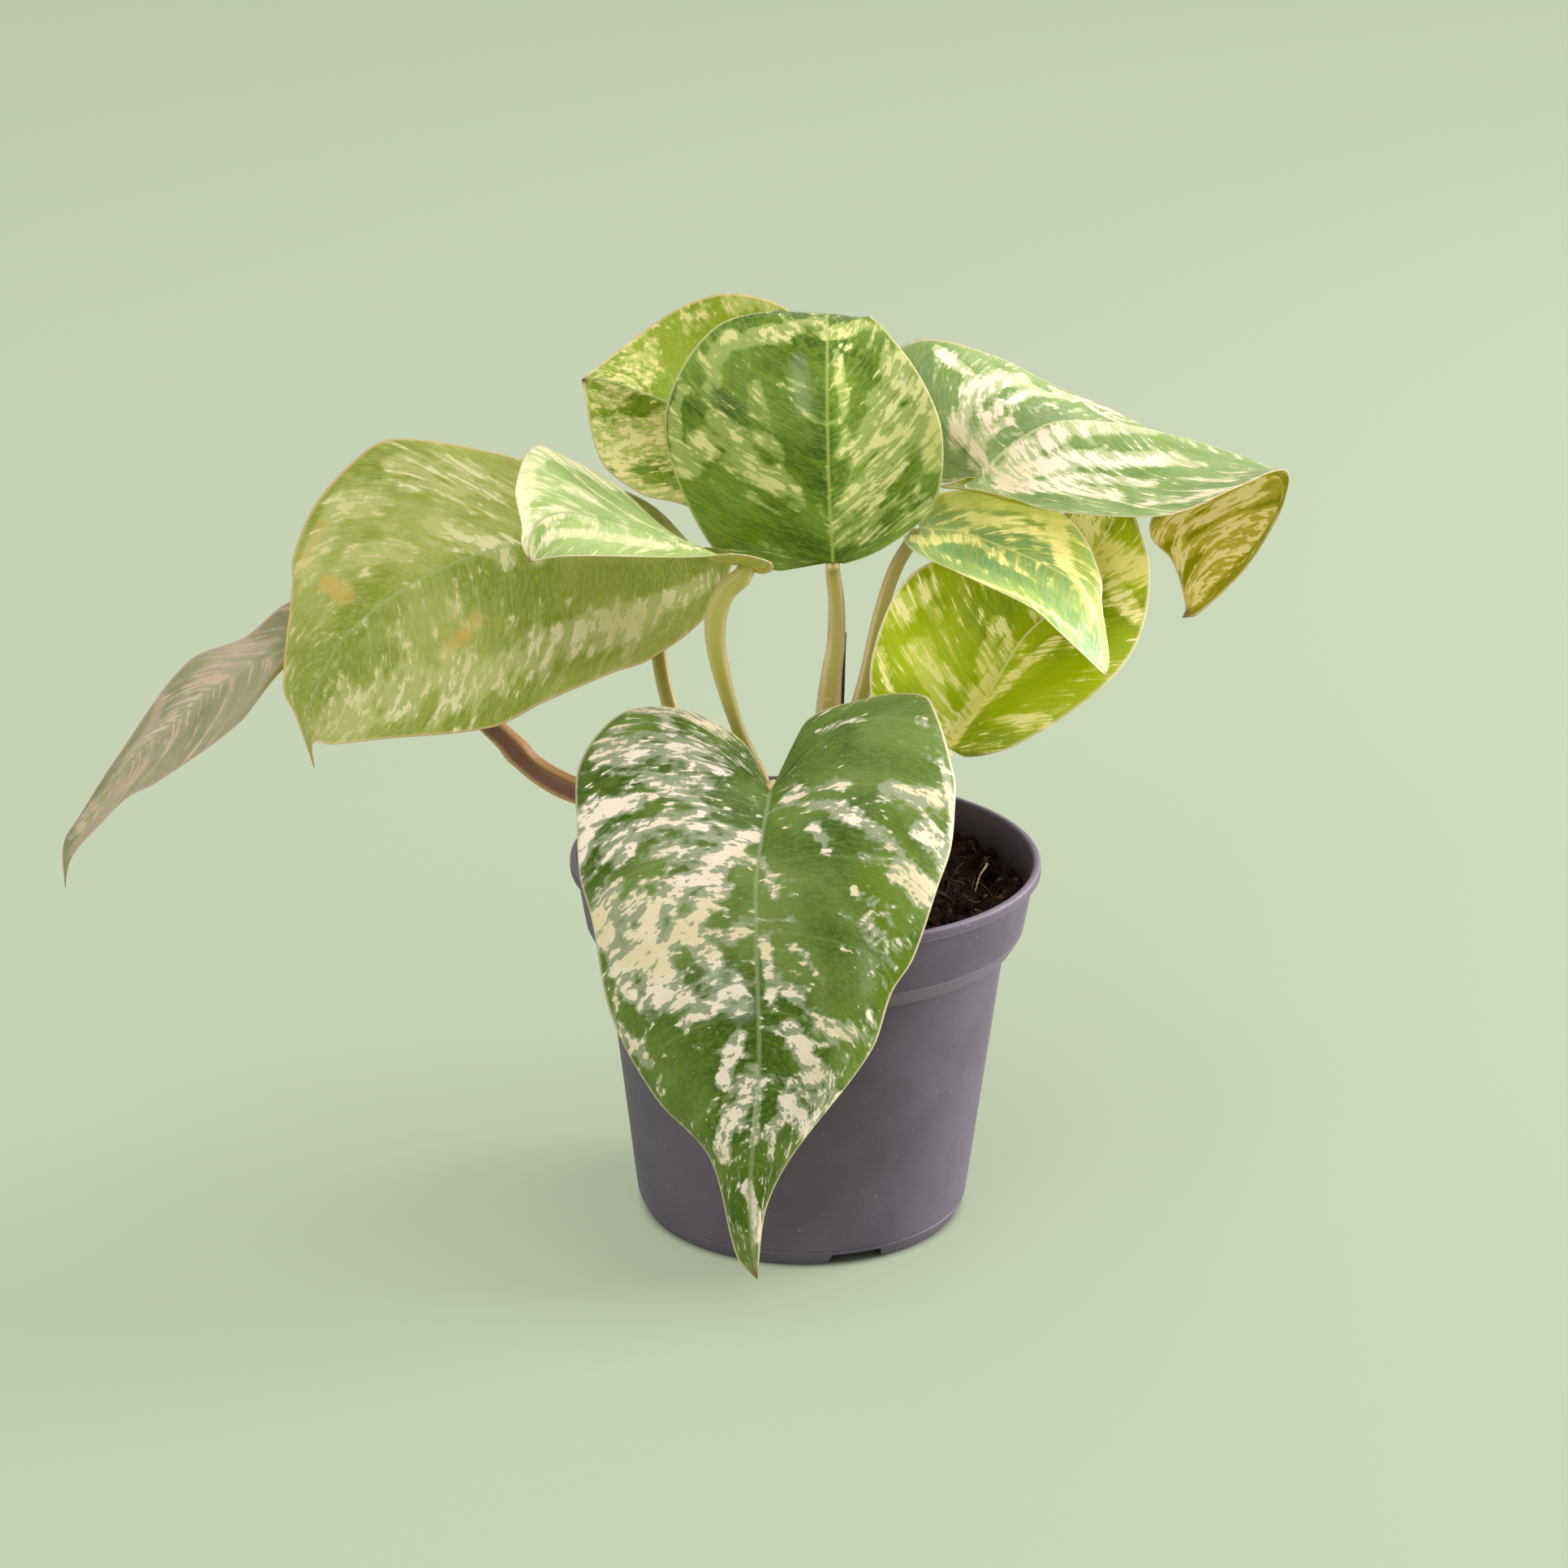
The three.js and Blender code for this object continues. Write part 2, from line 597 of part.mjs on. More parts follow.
function potSolid() {
  let pot = lathe(potProfile());
  for (let i = 0; i < NOTCH_COUNT; i++) {
    const turn = THREE.MathUtils.degToRad(NOTCH_FIRST_DEG) + (2 * Math.PI * i) / NOTCH_COUNT;
    const notch = new THREE.BoxGeometry(3 * FOOT_RING_WIDTH, NOTCH_WIDTH, 2 * NOTCH_HEIGHT)
      .translate(FOOT_RADIUS - FOOT_RING_WIDTH / 2, 0, 0)
      .rotateZ(turn);
    pot = pot.subtract(solidOf(notch));
  }
  for (let i = 0; i < DRAIN_COUNT; i++) {
    const turn = (2 * Math.PI * (i + 0.5)) / DRAIN_COUNT;
    const hole = new THREE.CylinderGeometry(DRAIN_RADIUS, DRAIN_RADIUS, 2 * PANEL_TOP_Z, DRAIN_SIDES)
      .rotateX(Math.PI / 2)
      .translate(DRAIN_RING_RADIUS * Math.cos(turn), DRAIN_RING_RADIUS * Math.sin(turn), PANEL_TOP_Z);
    pot = pot.subtract(solidOf(hole));
  }
  return pot;
}

// Soil: it fills the pot below the rim, and its top is raised in crumbs and hollows by a formula.
function soilTop(x, y) {
  const lift = ({ height, alongX, alongY, start }) => height * Math.sin(alongX * x + alongY * y + start);
  return SOIL_WAVES.reduce((z, wave) => z + lift(wave), SOIL_Z);
}

// The rings of points from the middle of the soil's top out to the wall, and down to the pot's floor.
function soilRings() {
  const wall = [...innerWall(), [RIM_RADIUS - LIP_WIDTH, POT_HEIGHT - EDGE_ROUND]];
  const radiusAt = (z) => between(wall.map((p) => p[1]), wall.map((p) => p[0]), z) - SOIL_CLEARANCE;
  const floor = PANEL_TOP_Z + SOIL_CLEARANCE;
  const rings = [];
  for (let i = 1; i <= SOIL_RINGS; i++) {
    rings.push({ radius: ((radiusAt(SOIL_Z) - SOIL_EDGE_ROUND) * i) / SOIL_RINGS });
  }
  for (const z of [SOIL_Z - SOIL_EDGE_DROP, BAND_FOOT_Z - EDGE_ROUND, SHOULDER_Z + EDGE_ROUND, PANEL_TOP_Z + WALL]) {
    rings.push({ radius: radiusAt(z), z });
  }
  rings.push({ radius: radiusAt(floor) - WALL, z: floor });
  return rings;
}

function soilSolid(holes) {
  const rings = soilRings();
  const points = [new THREE.Vector3(0, 0, soilTop(0, 0))];
  for (const { radius, z } of rings) {
    for (let k = 0; k < POT_SIDES; k++) {
      const turn = (2 * Math.PI * k) / POT_SIDES;
      const x = radius * Math.cos(turn);
      const y = radius * Math.sin(turn);
      points.push(new THREE.Vector3(x, y, z ?? soilTop(x, y)));
    }
  }
  const under = points.push(new THREE.Vector3(0, 0, PANEL_TOP_Z + SOIL_CLEARANCE)) - 1;
  const lastRing = 1 + (rings.length - 1) * POT_SIDES;
  const faces = [];
  for (let k = 0; k < POT_SIDES; k++) {
    const next = (k + 1) % POT_SIDES;
    faces.push([0, 1 + k, 1 + next]);
    faces.push([under, lastRing + next, lastRing + k]);
    for (let i = 0; i + 1 < rings.length; i++) {
      const a = 1 + i * POT_SIDES + k;
      const b = 1 + i * POT_SIDES + next;
      faces.push([a, a + POT_SIDES, b + POT_SIDES]);
      faces.push([a, b + POT_SIDES, b]);
    }
  }
  return holes.reduce((soil, hole) => soil.subtract(hole), solidOf(indexed(points, faces)));
}

// The plain hole that a stem stands in: a little deeper than its foot, and a little wider than the stem.
function holeFor({ path, radii }) {
  const [x, y, z] = path[0];
  return stem([[x, y, z - HOLE_DEPTH], ...path], radii, STEM_CLEARANCE);
}

const leaves = LEAVES.map(readyLeaf);
const surfaces = new Map(leaves.map((leaf) => [leaf.name, bladeSurface(leaf)]));
const plant = new THREE.Group();

function addPiece(name, solid, colour, roughness) {
  const material = new THREE.MeshStandardMaterial({ color: colour, roughness, metalness: 0 });
  const piece = new THREE.Mesh(geometryOf(solid), material);
  piece.name = name;
  plant.add(piece);
}

addPiece("pot", potSolid(), "#5e5560", 0.6);
addPiece("soil", soilSolid([MAIN_STEM, RUNNER, ...PETIOLES].map(holeFor)), "#3a271d", 0.95);

const branches = STEM_BRANCHES.map(({ leaf, path, radii }) => seated(stem(path, radii), leaf));
const mainStem = branches.reduce((whole, branch) => whole.add(branch), stem(MAIN_STEM.path, MAIN_STEM.radii));
addPiece("main_stem", mainStem, MAIN_STEM.colour, 0.5);
for (const { name, leaf, path, radii } of PETIOLES) {
  addPiece(name, seated(stem(path, radii), leaf), PETIOLE_COLOUR, 0.5);
}
addPiece(RUNNER.name, seated(stem(RUNNER.path, RUNNER.radii), RUNNER.leaf), RUNNER_COLOUR, 0.7);

for (const leaf of leaves) {
  addPiece(leaf.name, solidOf(thicken(surfaces.get(leaf.name), BLADE)), leaf.colour, 0.4);
}

export default plant;
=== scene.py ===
# %% [markdown]
# # A potted marble queen pothos
#
# The real object is a young trailing plant in a small nursery pot: nine heart-shaped leaves, green and
# splashed with cream, each on its own petiole, over dark coir soil.
#
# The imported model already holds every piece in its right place, but with few facets. This lesson makes
# each piece again round the same middle lines and margins, finely enough to be seen from close by, and
# gives each one a finish that is made of shader nodes only.

# %% Load the frame
import math

import bpy
import numpy as np
from mathutils import Matrix, Vector


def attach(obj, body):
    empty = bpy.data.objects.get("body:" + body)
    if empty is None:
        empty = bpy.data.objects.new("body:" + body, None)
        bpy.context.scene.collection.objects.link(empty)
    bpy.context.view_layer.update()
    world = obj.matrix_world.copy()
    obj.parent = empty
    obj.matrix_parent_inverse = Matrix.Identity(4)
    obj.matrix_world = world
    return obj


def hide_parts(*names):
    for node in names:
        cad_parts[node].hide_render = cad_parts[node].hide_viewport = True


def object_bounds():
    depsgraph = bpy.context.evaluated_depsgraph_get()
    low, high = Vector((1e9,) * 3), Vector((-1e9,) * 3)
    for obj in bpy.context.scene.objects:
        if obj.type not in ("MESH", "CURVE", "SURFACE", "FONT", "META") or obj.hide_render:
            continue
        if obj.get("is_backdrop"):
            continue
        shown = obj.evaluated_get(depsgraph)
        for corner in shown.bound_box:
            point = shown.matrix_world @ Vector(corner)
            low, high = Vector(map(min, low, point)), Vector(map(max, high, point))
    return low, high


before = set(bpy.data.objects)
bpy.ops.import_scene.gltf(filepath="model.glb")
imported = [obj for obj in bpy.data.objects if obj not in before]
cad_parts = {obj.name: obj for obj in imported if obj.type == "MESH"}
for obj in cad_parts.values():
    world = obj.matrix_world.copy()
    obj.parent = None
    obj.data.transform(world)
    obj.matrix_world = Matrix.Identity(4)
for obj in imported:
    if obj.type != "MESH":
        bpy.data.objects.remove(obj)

CAD_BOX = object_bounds()
MM = 0.001
print("nodes:", len(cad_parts), "box:", [round(v, 4) for corner in CAD_BOX for v in corner])

# %% [markdown]
# ## Camera
#
# The photograph was taken with a long lens from about a metre away, looking down by some twenty degrees.
# Its view was worked out from the pot's circles: their width against their height gives the angle down,
# and the way the pot narrows towards its foot gives the distance. The camera is turned by a bit over half
# a degree, because the photograph leans by that much.

# %% Camera
PHOTO_SIDE = 1932
FOCAL_PIXELS = 5350
SENSOR_WIDTH = 36.0
DOWN = math.radians(19.9)
ROLL = math.radians(0.6)
DISTANCE = 1100
AIM = Vector((-5.7, 0, 115))

forward = Vector((0, math.cos(DOWN), -math.sin(DOWN)))
level_up = Vector((0, math.sin(DOWN), math.cos(DOWN)))
level_right = Vector((1, 0, 0))
cam_right = math.cos(ROLL) * level_right + math.sin(ROLL) * level_up
cam_up = math.cos(ROLL) * level_up - math.sin(ROLL) * level_right

camera = bpy.data.objects.new("camera", bpy.data.cameras.new("camera"))
bpy.context.scene.collection.objects.link(camera)
camera.data.sensor_width = SENSOR_WIDTH
camera.data.lens = FOCAL_PIXELS / PHOTO_SIDE * SENSOR_WIDTH
axes = Matrix((cam_right, cam_up, -forward)).transposed().to_4x4()
camera.matrix_world = Matrix.Translation((AIM - DISTANCE * forward) * MM) @ axes
camera.data.clip_start, camera.data.clip_end = 0.05, 60
bpy.context.scene.camera = camera
print("lens:", round(camera.data.lens, 1), "mm")

# %% [markdown]
# ## Light, floor and background
#
# The photograph has one plain sage colour behind and below the plant, with a soft shadow round the pot.
# A lit floor alone would fade towards its far end. So this floor glows a little in its own colour and
# takes the rest from the lamps, which leaves the shadow soft and the colour even.
#
# There are four lamps: a broad one over the plant, a second from the right and behind, a weak one from the
# front left, and a small low one at the right that brightens the right edge of the pot. The room itself
# adds a pale, even light.

# %% Colours and lamps
bpy.context.scene.view_settings.view_transform = "Standard"


def linear(red, green, blue):
    """A colour as it looks on screen, from 0 to 255 each, as the numbers that Blender's light uses."""
    shares = [c / 255 for c in (red, green, blue)]
    return tuple(c / 12.92 if c <= 0.04045 else ((c + 0.055) / 1.055) ** 2.4 for c in shares) + (1.0,)


def add_lamp(name, place, aim, side, watts, colour):
    """A square soft light at a place, in mm, that looks at aim."""
    lamp = bpy.data.lights.new(name, "AREA")
    lamp.shape, lamp.size, lamp.energy, lamp.color = "SQUARE", side * MM, watts, colour
    thing = bpy.data.objects.new(name, lamp)
    bpy.context.scene.collection.objects.link(thing)
    thing.location = Vector(place) * MM
    thing.rotation_euler = (Vector(aim) - Vector(place)).to_track_quat("-Z", "Y").to_euler()


# Each lamp: name, place, aim, side, watts and colour.
LAMPS = [
    ("light_top", (500, -300, 3200), (0, 0, 120), 2300, 42.0, (1.0, 0.985, 0.96)),
    ("light_right", (2300, 900, 1100), (0, 0, 90), 1500, 51.0, (1.0, 0.97, 0.98)),
    ("light_front", (-1500, -2700, 1500), (0, 0, 100), 2100, 30.0, (1.0, 0.98, 0.96)),
    ("light_edge", (1500, 420, 260), (40, 0, 60), 600, 27.0, (1.0, 0.92, 1.0)),
]
for lamp_row in LAMPS:
    add_lamp(*lamp_row)

ROOM_COLOUR = linear(232, 226, 232)
ROOM_STRENGTH = 0.9
world = bpy.data.worlds.new("studio")
bpy.context.scene.world = world
world.use_nodes = True
background = world.node_tree.nodes["Background"]
background.inputs["Color"].default_value = ROOM_COLOUR
background.inputs["Strength"].default_value = ROOM_STRENGTH
print("lamps:", len(LAMPS))

# %% Floor
FLOOR_SIDE = 24000
# The share of its colour that the floor takes from the lamps.
FLOOR_SHARE = 0.34
SAGE = linear(197, 211, 180)


def new_material(name):
    """A new material with its node tree and its Principled shader."""
    material = bpy.data.materials.new(name)
    material.use_nodes = True
    tree = material.node_tree
    return material, tree, tree.nodes["Principled BSDF"]


floor_mesh = bpy.data.meshes.new("floor")
half = FLOOR_SIDE / 2 * MM
floor_corners = [(-half, -half, 0), (half, -half, 0), (half, half, 0), (-half, half, 0)]
floor_mesh.from_pydata(floor_corners, [], [(0, 1, 2, 3)])
floor = bpy.data.objects.new("floor", floor_mesh)
bpy.context.scene.collection.objects.link(floor)
floor_material, floor_tree, floor_shader = new_material("sage_floor")
floor_shader.inputs["Base Color"].default_value = tuple(FLOOR_SHARE * c for c in SAGE[:3]) + (1.0,)
floor_shader.inputs["Roughness"].default_value = 0.9
floor_shader.inputs["Specular IOR Level"].default_value = 0.1
floor_shader.inputs["Emission Color"].default_value = SAGE
floor_mesh.materials.append(floor_material)
floor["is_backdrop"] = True
print("floor side:", FLOOR_SIDE, "mm")

# %% [markdown]
# ## Tools for meshes
#
# Every piece is made of arrays of points, because formulas then say where each point is. A piece is
# made from points and faces in millimetres, gets its material, rides on the body of the whole object, and
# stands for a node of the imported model.

# %% Making a piece
def add_piece(name, points, faces, material, node=None, slot=None, smooth=True):
    """A mesh piece in the scene from points in mm and faces, that rides on the object's one body."""
    mesh = bpy.data.meshes.new(name)
    points = np.asarray(points, dtype=float) * MM
    mesh.from_pydata(points.tolist(), [], [tuple(int(i) for i in face) for face in faces])
    mesh.validate()
    mesh.polygons.foreach_set("use_smooth", [smooth] * len(mesh.polygons))
    mesh.materials.append(material)
    piece = bpy.data.objects.new(name, mesh)
    bpy.context.scene.collection.objects.link(piece)
    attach(piece, "root")
    if node:
        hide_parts(node)
    return piece


def grid_faces(rows, columns, closed=False):
    """The quads of a grid of points that are stored row by row, closed round if asked."""
    i, j = np.meshgrid(np.arange(rows - 1), np.arange(columns if closed else columns - 1), indexing="ij")
    along_row = (j + 1) % columns
    corners = (i * columns + j, i * columns + along_row, (i + 1) * columns + along_row, (i + 1) * columns + j)
    return np.stack(corners, axis=-1).reshape(-1, 4).tolist()


def join_parts(parts):
    """The points and faces of several parts as one set."""
    points, faces, count = [], [], 0
    for part_points, part_faces in parts:
        faces += [[i + count for i in face] for face in part_faces]
        points.append(part_points)
        count += len(part_points)
    return np.vstack(points), faces


print("mesh tools ready")

# %% [markdown]
# ## The smooth curve through points
#
# Each midrib, margin and stem is a short list of points. The curve between them is the same one that the
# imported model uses: it passes through every point, and its slope at a point is that between the two
# neighbours. Here it takes a whole array of shares of its length at once.

# %% Curve
def along(points, shares):
    """Points at shares, 0 to 1, of the length of the smooth curve that passes through every point."""
    points = np.asarray(points, dtype=float)
    lengths = np.concatenate([[0], np.cumsum(np.linalg.norm(np.diff(points, axis=0), axis=1))])
    last = len(points) - 1
    x = np.clip(np.asarray(shares, dtype=float), 0, 1) * lengths[-1]
    i = np.clip(np.searchsorted(lengths, x, side="right") - 1, 0, last - 1)
    before = np.maximum(np.arange(last + 1) - 1, 0)
    after = np.minimum(np.arange(last + 1) + 1, last)
    slopes = (points[after] - points[before]) / (lengths[after] - lengths[before])[:, None]
    h = lengths[i + 1] - lengths[i]
    w = (x - lengths[i]) / h
    h, w = h[..., None], w[..., None]
    return (
        points[i] * (2 * w**3 - 3 * w**2 + 1)
        + slopes[i] * (w**3 - 2 * w**2 + w) * h
        + points[i + 1] * (3 * w**2 - 2 * w**3)
        + slopes[i + 1] * (w**3 - w**2) * h
    )


def smoothstep(low, high, x):
    """0 below low, 1 above high, and a smooth rise between them."""
    t = np.clip((x - low) / (high - low), 0, 1)
    return t * t * (3 - 2 * t)


print("half way from 0 to 1:", float(smoothstep(0, 1, 0.5)))

# %% [markdown]
# ## Node tools
#
# Materials here hold many small sums, so a few helpers add a node, set its inputs and link it in one line.
# An input is given as a number, a colour or another node's output.

# %% Node helpers
def fill(tree, socket, value):
    """Links another node's output to a socket, or sets the socket to a number or colour."""
    if isinstance(value, bpy.types.NodeSocket):
        tree.links.new(value, socket)
    else:
        socket.default_value = value


def add_node(tree, kind, values=None, **settings):
    """Adds a node, gives it its settings, and fills each input that values names."""
    node = tree.nodes.new(kind)
    for key, value in settings.items():
        setattr(node, key, value)
    for key, value in (values or {}).items():
        fill(tree, node.inputs[key], value)
    return node


def math_node(tree, operation, *values):
    """The output of a Math node."""
    return add_node(tree, "ShaderNodeMath", dict(enumerate(values)), operation=operation).outputs[0]


def times(tree, a, b):
    """The product of two values."""
    return math_node(tree, "MULTIPLY", a, b)


def ramp_node(tree, value, low, high, out_low=0.0, out_high=1.0):
    """A smooth rise of value between low and high."""
    values = {"Value": value, "From Min": low, "From Max": high, "To Min": out_low, "To Max": out_high}
    return add_node(tree, "ShaderNodeMapRange", values, interpolation_type="SMOOTHSTEP").outputs["Result"]


def mix_node(tree, share, a, b):
    """The colour between a and b."""
    node = add_node(tree, "ShaderNodeMix", None, data_type="RGBA", blend_type="MIX")
    for socket, value in zip((node.inputs[0], node.inputs[6], node.inputs[7]), (share, a, b)):
        fill(tree, socket, value)
    return node.outputs[2]


def noise_node(tree, vector, scale, detail=2.0, roughness=0.5, distortion=0.0):
    """The value of a noise texture."""
    values = {"Vector": vector, "Scale": scale, "Detail": detail, "Roughness": roughness}
    return add_node(tree, "ShaderNodeTexNoise", {**values, "Distortion": distortion}).outputs[0]


def object_place(tree):
    """The place of each shaded point on its own object, in metres."""
    return add_node(tree, "ShaderNodeTexCoord").outputs["Object"]


def split_place(tree, vector):
    """The three parts of a vector, as outputs named X, Y and Z."""
    return add_node(tree, "ShaderNodeSeparateXYZ", {"Vector": vector}).outputs


def from_axis(tree, parts):
    """The distance from the pot's axis, in metres."""
    squares = [times(tree, parts[key], parts[key]) for key in ("X", "Y")]
    return math_node(tree, "POWER", math_node(tree, "ADD", *squares), 0.5)


def add_bump(tree, shader, height, strength, distance):
    """Lets a height, as a value, bend the light on the surface."""
    values = {"Height": height, "Strength": strength, "Distance": distance}
    tree.links.new(add_node(tree, "ShaderNodeBump", values).outputs["Normal"], shader.inputs["Normal"])


def new_group(name, inputs, outputs):
    """A shader node group with named sockets: inputs with their default or None, and outputs."""
    group = bpy.data.node_groups.new(name, "ShaderNodeTree")
    for label, default in inputs.items():
        kind = "NodeSocketVector" if default is None else "NodeSocketFloat"
        socket = group.interface.new_socket(label, in_out="INPUT", socket_type=kind)
        if default is not None:
            socket.default_value = default
    for label in outputs:
        group.interface.new_socket(label, in_out="OUTPUT", socket_type="NodeSocketFloat")
    return group, group.nodes.new("NodeGroupInput"), group.nodes.new("NodeGroupOutput")


def use_group(tree, group, values):
    """Places a node group in a material and gives its outputs."""
    node = tree.nodes.new("ShaderNodeGroup")
    node.node_tree = group
    for key, value in values.items():
        fill(tree, node.inputs[key], value)
    return node.outputs


print("node tools ready")

# %% [markdown]
# ## Fine grain, an effect that several finishes share
#
# Moulded plastic, petiole skin and leaf skin all have a grain too fine to model. The group takes the
# place on the piece and gives a cloudy change of tone, a fine grain for the bump and a mask of rare specks.

# %% Group: fine grain
GRAIN_INPUTS = {
    "Place": None, "Cloud Scale": 60.0, "Grain Scale": 2500.0, "Speck Scale": 700.0, "Speck Rarity": 0.72,
}
SPECK_EDGE = 0.03
grain_group, g_in, g_out = new_group("fine_grain", GRAIN_INPUTS, ["Cloud", "Grain", "Specks"])
given = g_in.outputs
cloud = noise_node(grain_group, given["Place"], given["Cloud Scale"], 3.0, 0.55)
fine_grain = noise_node(grain_group, given["Place"], given["Grain Scale"], 2.0, 0.6)
speck = noise_node(grain_group, given["Place"], given["Speck Scale"], 1.0, 0.4)
rarity_top = math_node(grain_group, "ADD", given["Speck Rarity"], SPECK_EDGE)
speck_mask = ramp_node(grain_group, speck, given["Speck Rarity"], rarity_top)
for label, value in (("Cloud", cloud), ("Grain", fine_grain), ("Specks", speck_mask)):
    grain_group.links.new(value, g_out.inputs[label])


def use_grain(tree, *scales):
    """The fine grain at an object's own place, with its scales and the rarity of its specks."""
    values = dict(zip(list(GRAIN_INPUTS)[1:], scales))
    return use_group(tree, grain_group, {"Place": object_place(tree), **values})


print("group:", grain_group.name)

# %% [markdown]
# The floor's own glow would also light the pot from below and brighten the notches in its foot. So the
# glow fades out in the disc that the pot stands on, and the dim ring that this leaves just round the foot is
# painted contact shade on the floor.

# %% Floor glow
FLOOR_GLOW = 0.5
# Where the floor's glow fades, in mm from the axis; the part past the foot is painted contact shade.
CONTACT_SHADE_FADE = (39, 43.5)
floor_radius = from_axis(floor_tree, split_place(floor_tree, object_place(floor_tree)))
floor_glow_and_contact_shade = ramp_node(floor_tree, floor_radius, CONTACT_SHADE_FADE[0] * MM, CONTACT_SHADE_FADE[1] * MM, 0.0, FLOOR_GLOW)
floor_tree.links.new(floor_glow_and_contact_shade, floor_shader.inputs["Emission Strength"])
print("the glow fades between", CONTACT_SHADE_FADE, "mm from the axis")

# %% [markdown]
# ## Pot
#
# The pot is one moulded shell of matte purple-grey plastic, 120 mm across the lip and 96 mm high, with a
# taller rim band, a shoulder, a foot ring with three drain notches, and drain holes in its floor. Such a
# pot is a turned shape, so its section is drawn once as radius and height, and swept round the axis. The
# notches and holes are cut with booleans. Sharp corners of the section are rounded first, because a
# moulded edge always catches a thin line of light.

# %% Pot sizes and section
RIM_RADIUS = 60
POT_HEIGHT = 96
LIP_WIDTH = 2
LIP_HEIGHT = 3
BAND_RADIUS_TOP = 58.4
BAND_RADIUS_FOOT = 56
BAND_FOOT_Z = 79
SHOULDER_Z = 74
WALL_RADIUS_TOP = 51.3
WALL_RADIUS_FOOT = 42.9
WALL = 1.4
FOOT_RING_Z = 4.6
FOOT_RADIUS = 40.6
FOOT_RING_WIDTH = 3.2
PANEL_Z = 2.6
PANEL_TOP_Z = 4.4
PAD_RADIUS = 12
PAD_SLOPE = 0.8
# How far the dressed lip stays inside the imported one.
HAIR = 0.02
# Each corner of the section: radius, height and how round it is.
POT_SECTION = [
    (0, 0, 0), (PAD_RADIUS, 0, 0.3), (PAD_RADIUS + PAD_SLOPE, PANEL_Z, 0.3),
    (FOOT_RADIUS - FOOT_RING_WIDTH - 0.4, PANEL_Z, 0.4), (FOOT_RADIUS - FOOT_RING_WIDTH, 0, 0.5),
    (FOOT_RADIUS, 0, 0.6), (WALL_RADIUS_FOOT - 0.25, FOOT_RING_Z - 0.7, 0.3),
    (WALL_RADIUS_FOOT - 0.5, FOOT_RING_Z - 0.15, 0.15), (WALL_RADIUS_FOOT, FOOT_RING_Z + 0.25, 0.2),
    (WALL_RADIUS_TOP, SHOULDER_Z - 0.2, 0.8), (WALL_RADIUS_TOP + 2.4, SHOULDER_Z + 1, 0.6),
    (BAND_RADIUS_FOOT - 1, BAND_FOOT_Z - 2, 0.6), (BAND_RADIUS_FOOT, BAND_FOOT_Z, 0.35),
    (BAND_RADIUS_TOP, POT_HEIGHT - LIP_HEIGHT, 0.5), (RIM_RADIUS - HAIR, POT_HEIGHT - LIP_HEIGHT + 0.3, 0.35),
    (RIM_RADIUS - HAIR, POT_HEIGHT - HAIR, 0.8), (RIM_RADIUS - LIP_WIDTH, POT_HEIGHT - HAIR, 0.7),
    (BAND_RADIUS_TOP - WALL, POT_HEIGHT - 5, 0.5), (BAND_RADIUS_FOOT - WALL, BAND_FOOT_Z - 0.6, 0.5),
    (WALL_RADIUS_TOP - WALL, SHOULDER_Z + 0.6, 0.5), (WALL_RADIUS_FOOT - WALL, PANEL_TOP_Z + WALL, 0.6),
    (WALL_RADIUS_FOOT - 2 * WALL, PANEL_TOP_Z, 0.5), (0, PANEL_TOP_Z, 0),
]
CORNER_STEPS = 4


def rounded(corners):
    """The section with each corner replaced by a short curve of the given size."""
    places = np.array([[r, z] for r, z, _ in corners], dtype=float)
    line = [places[0]]
    for k in range(1, len(places) - 1):
        before, here, after = places[k - 1], places[k], places[k + 1]
        reach = min(corners[k][2], 0.45 * np.linalg.norm(before - here), 0.45 * np.linalg.norm(after - here))
        start = here + (before - here) / np.linalg.norm(before - here) * reach
        end = here + (after - here) / np.linalg.norm(after - here) * reach
        for w in np.linspace(0, 1, CORNER_STEPS + 1):
            line.append(start * (1 - w) ** 2 + here * 2 * w * (1 - w) + end * w**2)
    line.append(places[-1])
    return np.array(line)


pot_line = rounded(POT_SECTION)
print("section points:", len(pot_line))

# %% Pot shell
POT_SEGMENTS = 224


def lathe(line, segments):
    """Points and faces of a section swept round the vertical axis. Its ends lie on the axis."""
    turns = np.linspace(0, 2 * math.pi, segments, endpoint=False)
    ring = line[1:-1]
    swept = [ring[:, None, 0] * np.cos(turns), ring[:, None, 0] * np.sin(turns), ring[:, None, 1] + 0 * turns]
    points = np.stack(swept, axis=-1).reshape(-1, 3)
    faces = grid_faces(len(ring), segments, closed=True)
    foot, top = len(points), len(points) + 1
    points = np.vstack([points, [[0, 0, line[0][1]], [0, 0, line[-1][1]]]])
    last = (len(ring) - 1) * segments
    for k in range(segments):
        following = (k + 1) % segments
        faces += [[foot, following, k], [top, last + k, last + following]]
    return points, faces


pot_material, pot_tree, pot_shader = new_material("pot_plastic")
pot_points, pot_faces = lathe(pot_line, POT_SEGMENTS)
pot = add_piece("pot_shell", pot_points, pot_faces, pot_material, node="pot", slot="pot_plastic")
print("pot faces:", len(pot.data.polygons))

# %% Notches and drain holes
NOTCH_TURNS = [math.radians(-70.5 + 120 * k) for k in range(3)]
NOTCH_WIDTH = 14
NOTCH_HEIGHT = 3.4
NOTCH_FLARE = (0.8, -0.5)
DRAIN_TURNS = [math.radians(60 * (k + 0.5)) for k in range(6)]
DRAIN_RING_RADIUS = 25
DRAIN_RADIUS = 3.5
DRAIN_SIDES = 32
CUT_PAST = 1
SHARP_ANGLE = math.radians(38)


def turned(points, angle):
    """The points turned round the vertical axis."""
    c, s = math.cos(angle), math.sin(angle)
    return [(x * c - y * s, x * s + y * c, z) for x, y, z in points]


